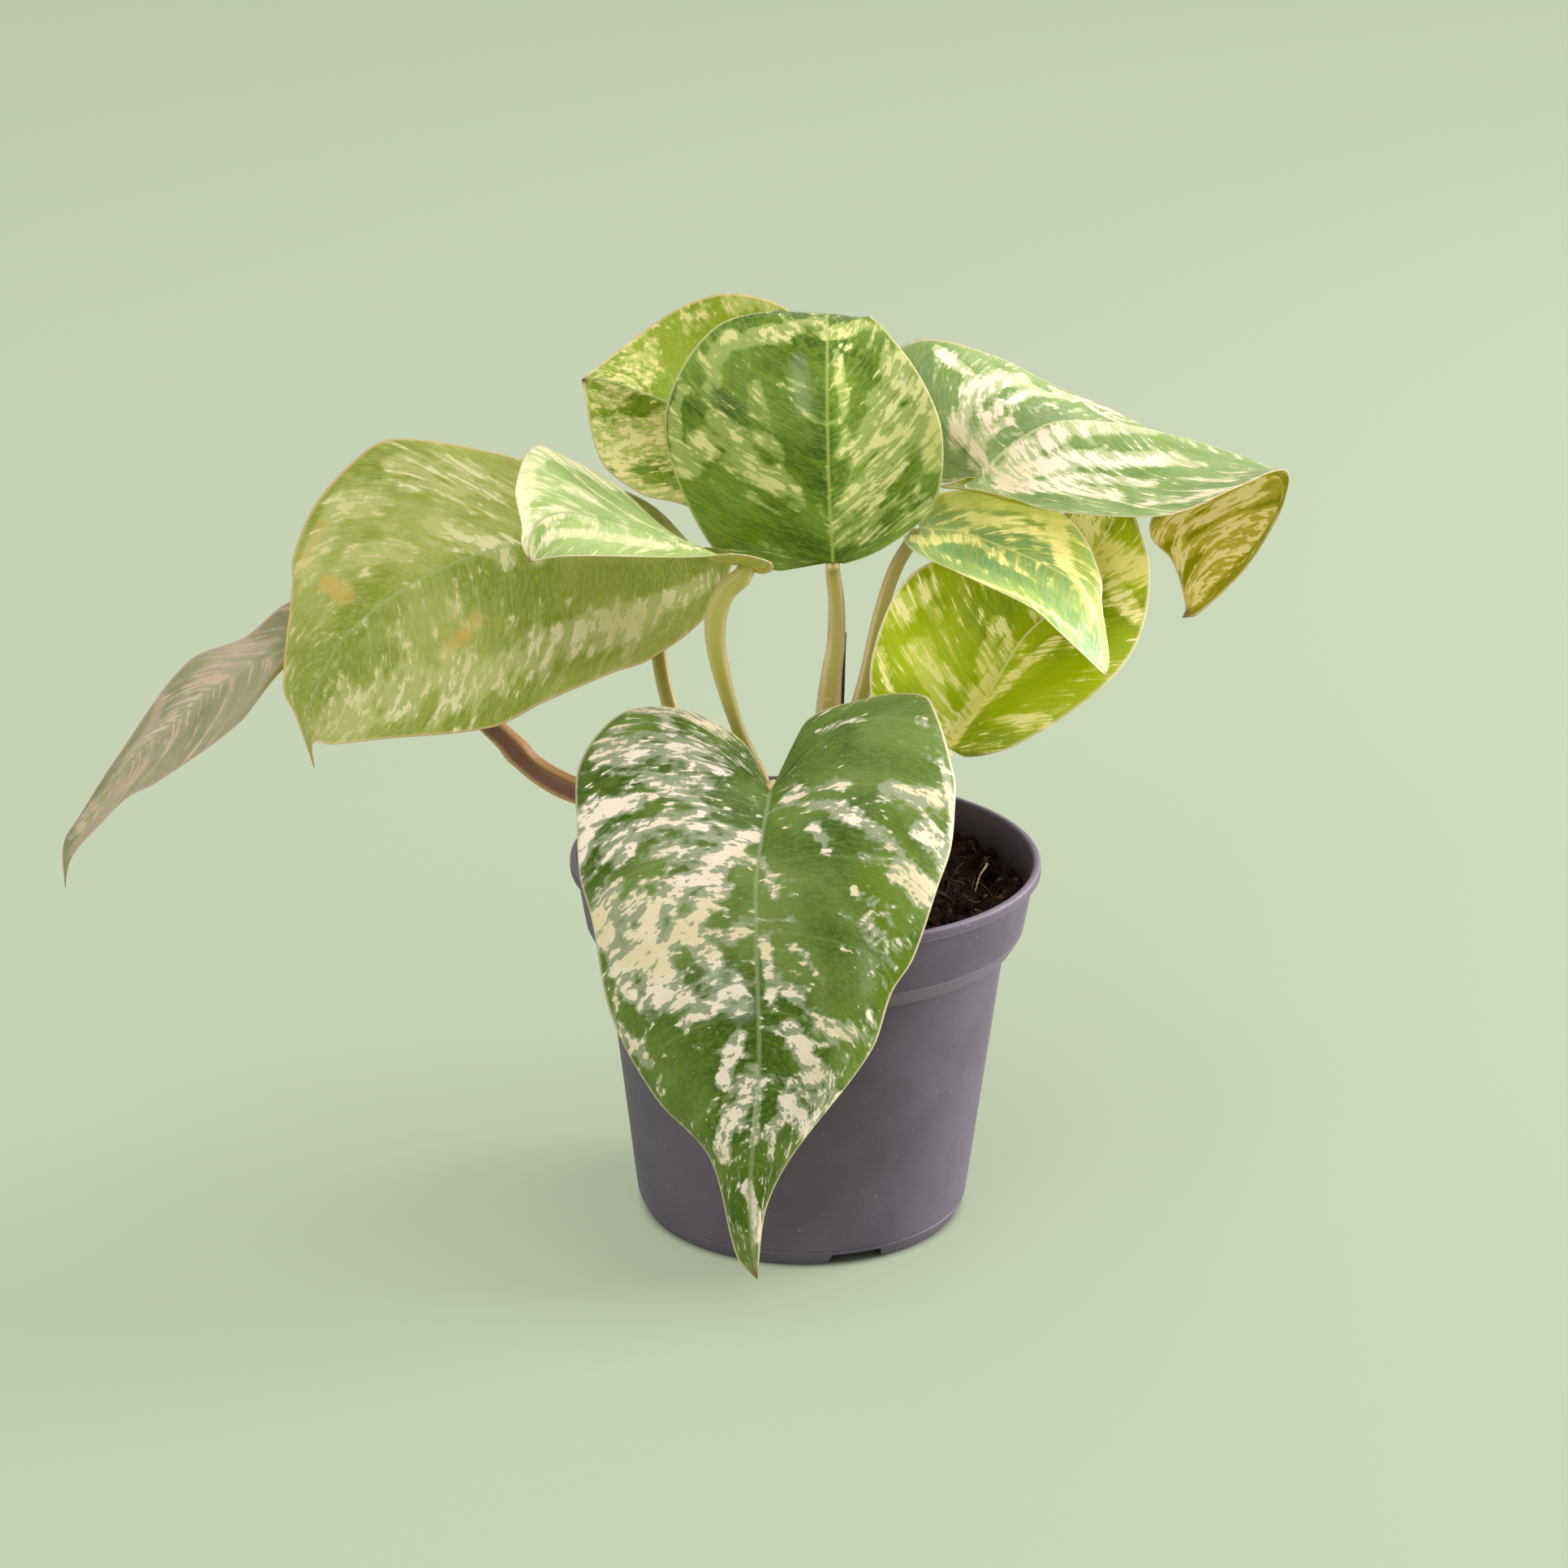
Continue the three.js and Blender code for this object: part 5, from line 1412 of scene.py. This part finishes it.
def leaf_material(name, look, margin_length, vein_length):
    """The finish of one leaf from its own colours and amounts."""
    material, tree, shader = new_material(name)
    colours = {key: linear(*value) for key, value in look.items() if isinstance(value, tuple)}

    def layer(under, mask, amount, colour):
        """Lays a colour over what is under it, where a mask says and by an amount."""
        return mix_node(tree, times(tree, mask, amount), under, colours[colour])

    def attribute(attribute_name, output):
        """An attribute that the mesh carries."""
        return add_node(tree, "ShaderNodeAttribute", None, attribute_name=attribute_name).outputs[output]

    veins = add_node(tree, "ShaderNodeUVMap", None, uv_map="veins").outputs["UV"]
    creamy, glowing, dark_green_and_shade = add_node(
        tree, "ShaderNodeSeparateColor", {"Color": attribute("marks", "Color")}).outputs
    painted_sheen_mask = attribute("marks", "Alpha")
    length, upper = attribute("vein_length", "Fac"), attribute("upper", "Fac")
    filled = math_node(tree, "MULTIPLY_ADD", dark_green_and_shade, DARK_PULL, times(tree, creamy, look["fill"]))
    marble = use_group(tree, marbling, {
        "Veins": veins, "Painted": math_node(tree, "ADD", filled, look["base"]), "Seed": look["seed"],
        "Streak Count": margin_length / look["pitch"], "Streak Length": vein_length / look["run"],
        "Contrast": look["contrast"], "Sweep": look["sweep"],
    })
    skin = use_grain(tree, 38.0, 1700.0, 500.0, 0.73)
    cloud = ramp_node(tree, skin["Cloud"], 0.38, 0.62)
    tone = mix_node(tree, cloud, colours["deep"], colours["green"])
    tone = layer(tone, dark_green_and_shade, DARK_AMOUNT, "deep")
    tone = layer(tone, marble["Yellow"], look["yellow_amount"], "yellow")
    tone = layer(tone, marble["Fine"], look["fine"], "light")
    tone = layer(tone, glowing, look["glow_amount"], "glow")
    tone = layer(tone, marble["Pale"], look["mid_amount"], "mid")
    tone = layer(tone, marble["Side Veins"], look["side_veins"], "light")
    cream = mix_node(tree, cloud, colours["cream"], colours["cream_warm"])
    tone = mix_node(tree, marble["Cream"], tone, layer(cream, glowing, look["cream_glow"], "glow"))
    # Painted sheen: a bluish-white highlight laid into the colour where the gloss catches the light.
    tone = mix_node(tree, times(tree, painted_sheen_mask, painted_sheen_mask), tone, PAINTED_SHEEN_COLOUR)
    from_rib = times(tree, math_node(tree, "ABSOLUTE", marble["Signed Out"]), length)
    from_edge = math_node(tree, "SUBTRACT", length, from_rib)
    share = split_place(tree, veins)["X"]
    rib = ramp_node(tree, from_rib, 0.2, 0.75, look["rib_amount"], 0.0)
    tone = mix_node(tree, times(tree, rib, ramp_node(tree, share, 0.16, 0.26)), tone, colours["rib"])
    rim = ramp_node(tree, from_edge, 0.2, 0.9, look["rim_amount"], 0.0)
    tone = mix_node(tree, rim, tone, colours["rim"])
    under = mix_node(tree, marble["Pale"], colours["under"], colours["under_light"])
    under = mix_node(tree, marble["Cream"], under, colours["under_pale"])
    under = mix_node(tree, rim, under, colours["rim"])
    tone = mix_node(tree, upper, under, tone)
    tone = mix_node(tree, ramp_node(tree, share, 0.975, 0.995, 0.0, look["tip_amount"]), tone, colours["tip"])
    tree.links.new(tone, shader.inputs["Base Color"])
    # Painted light: leaves given an emission strength shine faintly in their own tone, standing for light
    # that passes through them.
    if look["lit"] or look["lit_under"]:
        tree.links.new(tone, shader.inputs["Emission Color"])
        change = look["lit"] - look["lit_under"] + 0.001
        lit = math_node(tree, "MULTIPLY_ADD", upper, change, look["lit_under"])
        tree.links.new(lit, shader.inputs["Emission Strength"])
    gloss = math_node(tree, "MULTIPLY_ADD", skin["Cloud"], 0.2, look["roughness"] + 0.1)
    gloss = math_node(tree, "MULTIPLY_ADD", upper, -0.1, gloss)
    tree.links.new(gloss, shader.inputs["Roughness"])
    shader.inputs["Specular IOR Level"].default_value = LEAF_SPECULAR
    relief = math_node(tree, "MULTIPLY_ADD", marble["Fine"], 0.5, times(tree, skin["Grain"], 0.4))
    relief = math_node(tree, "MULTIPLY_ADD", marble["Side Veins"], -0.6, relief)
    add_bump(tree, shader, relief, 0.25, 0.0003)
    return material


print("leaf finish ready")

# %% Leaf looks
# The emission strengths of the upper side and the underside are painted light shining through the leaf; the
# bright yellow-green colours of the two leaves in the shade of the back right leaf stand partly for the same
# light.
# Colours as seen on screen, amounts from 0 to 1, pitch and run of the streaks in mm.
COMMON = {
    "cream": (240, 228, 204), "cream_warm": (228, 212, 176), "mid": (170, 182, 130), "mid_amount": 0.75,
    "rib": (150, 166, 106), "rib_amount": 0.6, "rim": (222, 206, 168), "rim_amount": 0.65,
    "under": (150, 150, 4), "under_light": (184, 176, 60), "under_pale": (222, 204, 130),
    "glow": (120, 146, 10), "glow_amount": 0.8, "cream_glow": 0.3, "yellow": (132, 152, 30),
    "yellow_amount": 0.3, "fine": 0.22, "side_veins": 0.14, "contrast": 1.0, "base": 0.0, "fill": 0.9,
    "roughness": 0.26, "pitch": 4.6, "run": 16.0, "sweep": 0.09, "lit": 0.0, "lit_under": 0.0,
    "tip": (126, 92, 56), "tip_amount": 0.85,
}
LOOKS = {
    "leaf_front": {
        "seed": 1.0, "deep": (58, 86, 2), "green": (102, 126, 52), "light": (132, 150, 84),
        "mid": (148, 158, 122), "yellow": (96, 122, 14), "cream": (238, 224, 202),
        "cream_warm": (222, 208, 166), "glow": (92, 118, 6), "pitch": 4.6, "run": 12.0,
        "mid_amount": 0.95, "side_veins": 0.24, "rib": (146, 158, 112),
    },
    "leaf_centre": {
        "seed": 2.0, "deep": (58, 92, 0), "green": (108, 138, 40), "light": (160, 178, 82),
        "mid": (164, 180, 96), "rib": (178, 192, 90), "cream": (214, 214, 142),
        "cream_warm": (198, 200, 118), "base": 0.0, "rim": (214, 208, 140), "yellow": (130, 158, 10),
        "pitch": 4.4, "run": 17.0, "contrast": 0.9,
    },
    "leaf_back": {
        "seed": 3.0, "deep": (84, 114, 0), "green": (120, 144, 30), "light": (176, 180, 84),
        "mid": (176, 184, 100), "cream": (208, 202, 136), "cream_warm": (206, 194, 124),
        "rim": (206, 176, 130), "glow": (140, 154, 10), "base": -0.03, "tip": (74, 50, 40), "pitch": 4.0,
        "run": 10.0,
    },
    "leaf_back_right": {
        "seed": 4.0, "deep": (104, 134, 66), "green": (132, 158, 92), "light": (166, 182, 124),
        "base": 0.04, "mid": (190, 196, 144), "cream": (236, 224, 192), "cream_warm": (222, 208, 166),
        "rim": (214, 192, 160), "pitch": 4.2, "run": 16.0, "sweep": 0.15, "lit_under": 0.24,
        "under": (138, 138, 0), "under_light": (184, 172, 56), "under_pale": (236, 220, 150),
        "rib": (206, 210, 160),
    },
    "leaf_right": {
        "seed": 5.0, "deep": (108, 150, 92), "green": (152, 180, 104), "light": (196, 204, 112),
        "base": 0.06, "mid": (206, 210, 112), "cream": (244, 236, 164), "cream_warm": (232, 226, 140),
        "glow": (168, 170, 10), "cream_glow": 0.45, "pitch": 4.0, "run": 22.0, "sweep": 0.13, "lit": 0.2,
        "lit_under": 0.2, "rib": (214, 214, 130),
    },
    "leaf_low_right": {
        "seed": 6.0, "deep": (122, 146, 0), "green": (158, 176, 4), "light": (194, 198, 70), "base": 0.08,
        "mid": (196, 200, 84), "cream": (240, 230, 158), "cream_warm": (226, 218, 128),
        "glow": (156, 176, 0), "yellow": (160, 170, 10), "pitch": 3.6, "run": 24.0, "sweep": 0.1,
        "lit": 0.17, "lit_under": 0.2, "rib": (228, 222, 150), "rib_amount": 0.85,
    },
    "leaf_left": {
        "seed": 7.0, "deep": (122, 138, 36), "green": (152, 162, 76), "light": (184, 192, 124),
        "base": 0.06, "mid": (182, 186, 118), "mid_amount": 0.6, "fill": 0.75, "tip": (170, 130, 112),
        "cream": (206, 204, 150), "cream_warm": (198, 190, 128), "rim": (216, 180, 130),
        "glow": (212, 172, 90), "yellow": (152, 160, 44), "roughness": 0.36, "pitch": 5.0, "run": 15.0,
        "sweep": 0.12, "glow_amount": 0.55, "contrast": 0.85,
    },
    "leaf_far_left": {
        "seed": 8.0, "deep": (124, 130, 88), "green": (150, 150, 112), "light": (176, 166, 132),
        "base": 0.08, "mid": (168, 160, 130), "fill": 0.75, "tip": (92, 66, 56), "cream": (200, 182, 152),
        "cream_warm": (190, 168, 140), "rim": (188, 156, 142), "glow": (198, 172, 152),
        "yellow": (160, 154, 106), "under": (160, 154, 96), "roughness": 0.4, "pitch": 3.4, "run": 30.0,
        "sweep": 0.14,
    },
    "leaf_inner_left": {
        "seed": 9.0, "deep": (140, 168, 88), "green": (166, 190, 118), "light": (196, 208, 148),
        "base": 0.06, "mid": (204, 212, 152), "cream": (226, 224, 176), "cream_warm": (218, 216, 158),
        "yellow": (166, 184, 84), "under": (196, 190, 84), "under_light": (216, 206, 120),
        "under_pale": (226, 214, 142), "pitch": 3.8, "run": 26.0, "sweep": 0.14,
    },
}
print("looks:", len(LOOKS))

# %% Making the leaves
BOX_EASE = 3.0
MARK_KINDS = ("cream", "glow", "dark", "painted_sheen")


def inside_box(points):
    """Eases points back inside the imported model's box, which a finer surface would pass by a little."""
    low, high = [np.array(corner) / MM for corner in CAD_BOX]
    for sign, limit in ((1, high), (-1, -low)):
        start = limit - BOX_EASE
        beyond = np.maximum(sign * points - start, 0)
        points = np.where(beyond > 0, sign * (start + BOX_EASE * (1 - np.exp(-beyond / BOX_EASE))), points)
    return points


def add_leaf(name, leaf, strokes):
    """A leaf blade with its veins map, its marks and its finish."""
    layers, facts = blade_layers(leaf)
    lists = {kind: placed(leaf, found, kind == "cream_under") for kind, found in strokes.items()}
    lists["cream"] = lists["cream"] + lists.get("cream_under", [])
    marks = []
    for side in (0, 1):
        grid = (layers[side][0] + layers[side][1]) / 2
        marks.append(np.stack([painted(grid, lists.get(kind, [])) for kind in MARK_KINDS], axis=-1))

    def flat(pick):
        """One array over both sides and both faces."""
        return np.concatenate([pick(side, face) for side in (0, 1) for face in (0, 1)])

    points = inside_box(flat(lambda side, face: layers[side][face].reshape(-1, 3)))
    known = flat(lambda side, face: facts[side].reshape(-1, 3))
    fields = flat(lambda side, face: marks[side].reshape(-1, len(MARK_KINDS)))
    is_upper = flat(lambda side, face: np.full(rows * columns, 1.0 - face))
    edges = [np.array(margin(leaf, side), dtype=float) for side in (0, 1)]
    margin_length = float(np.mean([np.linalg.norm(np.diff(edge, axis=0), axis=1).sum() for edge in edges]))
    longest_vein = float(max(facts[side][..., 2].max() for side in (0, 1)))
    material = leaf_material(name + "_skin", {**COMMON, **LOOKS[name]}, margin_length, longest_vein)
    piece = add_piece(name + "_blade", points[BLADE_USED], BLADE_FACES, material, node=name, slot="leaf")
    corner_list = np.array([k for corner in BLADE_CORNERS for k in corner])
    uv = np.stack([known[corner_list, 0], 0.5 + 0.5 * known[corner_list, 1]], axis=-1)
    piece.data.uv_layers.new(name="veins").data.foreach_set("uv", uv.astype(np.float32).ravel())
    for label, kind, key, values in (
        ("marks", "FLOAT_COLOR", "color", fields), ("vein_length", "FLOAT", "value", known[:, 2]),
        ("upper", "FLOAT", "value", is_upper),
    ):
        carried = piece.data.attributes.new(label, kind, "POINT")
        carried.data.foreach_set(key, values[BLADE_USED].astype(np.float32).ravel())
    return piece


for name, leaf in LEAVES.items():
    piece = add_leaf(name, leaf, STROKES[name])
    print(name, "faces:", len(piece.data.polygons))

# %% [markdown]
# ## Stems, petioles and runner
#
# Each petiole is a tube with a shallow channel down its front, thinner in the middle and a little wider
# where it meets the blade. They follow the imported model's middle lines. At the top a petiole runs up to
# the very point where the midrib starts, so its end becomes the leaf's knuckle.

# %% Stem lines
MAIN_STEM = {
    "path": [(4, 4, 66), (4, 4, 92), (5, 4, 112), (6, 5, 128), (5, 5, 137)],
    "radii": [3.6, 4.3, 3.6, 2.3],
}
BRANCHES = {
    "leaf_centre": {
        "path": [
            (5, 5, 124), (5.3, 5.3, 132), (6, 6, 142), (7, 7, 150), (7, 8, 161), (6, 8, 169), (6, 5, 175),
        ],
        "radii": [3.6, 3.1, 2.4, 2.1, 2.2],
    },
    "leaf_right": {
        "path": [(6, 5, 112), (10, 7, 124), (14, 9, 137), (18, 14, 155), (22, 18, 167), (29, 20, 178)],
        "radii": [2.6, 1.8, 2.2],
    },
    "leaf_back": {
        "path": [(5, 5, 108), (7, 11, 130), (7.5, 17, 146), (6.5, 24, 161), (4, 33, 174), (0, 38, 184)],
        "radii": [2.4, 1.7, 1.8],
    },
}
PETIOLES = {
    "petiole_front": {
        "leaf": "leaf_front",
        "path": [(-6, -9, 66), (-6, -9, 90), (-7, -13, 108), (-8, -26, 123), (-9, -43, 130)],
        "radii": [2.4, 1.9, 2],
    },
    "petiole_inner_left": {
        "leaf": "leaf_inner_left",
        "path": [
            (-6, -2, 66), (-6, -2, 90), (-8, -5, 106), (-11, -7, 118), (-17, -9, 132), (-21, -11, 146),
            (-23, -12, 157), (-22.6, -12, 165), (-20.2, -11.5, 170), (-16, -11.5, 174),
            (-10.4, -13.4, 176.6),
        ],
        "radii": [2.3, 2, 1.8, 1.8, 1.7, 1.7, 2.3, 2.8, 2.5],
    },
    "petiole_left": {
        "leaf": "leaf_left",
        "path": [
            (-16, 9, 66), (-16, 9, 88), (-20, 12, 101), (-29, 15, 115), (-35, 18, 129), (-38, 20, 143),
            (-38, 20, 157), (-34, 15, 176),
        ],
        "radii": [2.5, 2, 2],
    },
    "petiole_back_right": {
        "leaf": "leaf_back_right",
        "path": [
            (14, 14, 66), (14, 14, 90), (18, 17, 103), (27, 24, 130), (38, 32, 158), (45, 35, 175),
            (45, 31, 194),
        ],
        "radii": [2.5, 1.9, 2.1],
    },
    "petiole_low_right": {
        "leaf": "leaf_low_right",
        "path": [(17, 2, 66), (17, 2, 90), (22, 4, 102), (30, 7, 112), (38, 6, 126)],
        "radii": [2.4, 1.9, 1.9],
    },
}
RUNNER = {
    "path": [
        (-22, 16, 66), (-22, 16, 88), (-30, 17, 98), (-45, 18, 103), (-60, 19, 106), (-70, 21, 111),
        (-79, 22, 120), (-91, 24, 130), (-107, 24, 139), (-126, 22, 146),
    ],
    "radii": [3.5, 3.4, 1.9],
}
# A thin strip for the edge of a petiole that lies mostly hidden beside the centre leaf's petiole; its dark
# purple skin is painted shade.
SHADED_PETIOLE_EDGE = [(8.6, 5.2, 126), (8.8, 5.8, 136), (9.0, 6.4, 145), (9.3, 7.6, 153)]
print("petioles:", len(PETIOLES))

# %% Stem material
LINE_COUNT, LINE_RUN = 26.0, 3.0
SOIL_STAIN = linear(96, 72, 46)


def stem_material(name, side, side_pale, front_colour, tint):
    """Petiole skin: a greener stripe down the front, tan edges, fine lines along it, and a waxy gloss."""
    material, tree, shader = new_material(name)
    way_round = add_node(tree, "ShaderNodeUVMap", None, uv_map="around").outputs["UV"]
    around, along_share, _ = split_place(tree, way_round)
    skin = use_grain(tree, 70.0, 1600.0, 450.0, 0.7)
    stretched = {"X": times(tree, around, LINE_COUNT), "Y": times(tree, along_share, LINE_RUN)}
    lines = noise_node(tree, add_node(tree, "ShaderNodeCombineXYZ", stretched).outputs[0], 1.0, 2.0, 0.6)
    off_front = math_node(tree, "ABSOLUTE", math_node(tree, "SUBTRACT", around, 0.5))
    tone = mix_node(tree, ramp_node(tree, lines, 0.35, 0.65), linear(*side), linear(*side_pale))
    tone = mix_node(tree, ramp_node(tree, off_front, 0.05, 0.13, 1.0, 0.0), tone, linear(*front_colour))
    tone = mix_node(tree, ramp_node(tree, skin["Cloud"], 0.45, 0.7, 0.0, 0.45), tone, linear(*tint))
    tone = mix_node(tree, times(tree, skin["Specks"], 0.4), tone, linear(*tint))
    height = split_place(tree, object_place(tree))["Z"]
    stain = ramp_node(tree, height, SOIL_Z * MM, (SOIL_Z + 10) * MM, 0.55, 0.0)
    tree.links.new(mix_node(tree, stain, tone, SOIL_STAIN), shader.inputs["Base Color"])
    tree.links.new(ramp_node(tree, lines, 0.3, 0.7, 0.36, 0.5), shader.inputs["Roughness"])
    shader.inputs["Specular IOR Level"].default_value = 0.4
    add_bump(tree, shader, lines, 0.35, 0.0004)
    return material


# Each finish: the two tones of the sides, the front stripe and the patches.
STEM_FINISHES = {
    "petiole_skin": ((196, 178, 116), (212, 196, 144), (164, 158, 58), (186, 168, 96)),
    "petiole_pale_skin": ((198, 182, 116), (214, 202, 142), (178, 172, 76), (188, 180, 100)),
    "stem_skin": ((200, 180, 124), (214, 198, 150), (166, 160, 72), (184, 160, 96)),
    "runner_skin": ((150, 108, 62), (190, 150, 98), (118, 80, 62), (120, 82, 48)),
    # The last finish is dark purple as painted shade on a petiole edge.
    "shaded_petiole_skin": ((74, 46, 56), (92, 60, 66), (64, 38, 48), (84, 54, 58)),
}
SKINS = {name: stem_material(name, *colours) for name, colours in STEM_FINISHES.items()}
print("stem finishes:", len(SKINS))

# %% Making the stems
TUBE_SIDES = 24
STEM_STEP = 1.2
END_BELOW = 1.1


def stem_tube(path, radii, end_at=None, groove=0.16, ripple=None):
    """A stem's points and faces, and its number of rings. Its end is moved to where its leaf starts."""
    path = np.array(path, dtype=float)
    if end_at is not None:
        end = np.array(end_at, dtype=float)
        path[-1] = end + (path[-2] - end) / np.linalg.norm(path[-2] - end) * END_BELOW
    steps = int(np.linalg.norm(np.diff(path, axis=0), axis=1).sum() / STEM_STEP)
    return tube(path, radii, steps, TUBE_SIDES, groove, ripple), steps + 3


def round_map(faces, ring_count):
    """For each corner of a tube's faces, the share of the way round and along it."""
    found = []
    ring_points = ring_count * TUBE_SIDES
    for face in faces:
        wraps = max(i % TUBE_SIDES for i in face if i < ring_points) > TUBE_SIDES / 2
        for k in face:
            ring, turn = divmod(k, TUBE_SIDES)
            turn_share = 1.0 if turn == 0 and wraps else turn / TUBE_SIDES
            if k >= ring_points:
                turn_share, ring = 0.5, ring_count if k > ring_points else 0
            found.append((turn_share, ring / ring_count))
    return found


def add_stem(name, tubes, skin, node, slot):
    """One piece from one or more tubes, with a map of the way round and along them."""
    points, faces = join_parts([shape for shape, _ in tubes])
    around = [corner for (_, tube_faces), rings_made in tubes for corner in round_map(tube_faces, rings_made)]
    piece = add_piece(name, points, faces, SKINS[skin], node=node, slot=slot)
    uv_layer = piece.data.uv_layers.new(name="around")
    uv_layer.data.foreach_set("uv", np.array(around, dtype=np.float32).ravel())


def knots(places, height, width):
    """A ripple of the radius: a low ring at each share of the length."""
    return lambda shares: 1 + sum(height * np.exp(-(((shares - place) / width) ** 2)) for place in places)


def leaf_start(name):
    """Where a leaf's midrib starts."""
    return LEAVES[name]["midrib"][0]


stem_parts = [stem_tube(MAIN_STEM["path"], MAIN_STEM["radii"], None, 0.06, knots((0.45,), 0.06, 0.04))]
for leaf_name, row in BRANCHES.items():
    radii = [*row["radii"][:-1], 0.8 * row["radii"][-1]]
    stem_parts.append(stem_tube(row["path"], radii, leaf_start(leaf_name)))
add_stem("main_stem_skin", stem_parts, "stem_skin", "main_stem", "stem")
for name, row in PETIOLES.items():
    skin = "petiole_pale_skin" if name == "petiole_inner_left" else "petiole_skin"
    petiole = stem_tube(row["path"], row["radii"], leaf_start(row["leaf"]))
    add_stem(name + "_skin", [petiole], skin, name, "petiole")
runner_ripple = knots((0.24, 0.42, 0.60), 0.14, 0.018)
runner = stem_tube(RUNNER["path"], RUNNER["radii"], leaf_start("leaf_far_left"), 0.18, runner_ripple)
add_stem("runner_skin", [runner], "runner_skin", "runner_stem", "runner")
add_stem("shaded_petiole_edge", [stem_tube(SHADED_PETIOLE_EDGE, [0.5, 0.55, 0.35], None, 0.0)], "shaded_petiole_skin", None, "stem")
print("stems made:", 3 + len(PETIOLES))

# %% [markdown]
# ## Size and the frame's own check
#
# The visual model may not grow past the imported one, so both boxes are written down and compared.

# %% Sizes
shown_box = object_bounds()
for end, cad_corner, shown_corner in zip(("low", "high"), CAD_BOX, shown_box):
    apart = [round((a - b) / MM, 2) for a, b in zip(shown_corner, cad_corner)]
    print(end, "corner:", apart, "mm from the packed box")
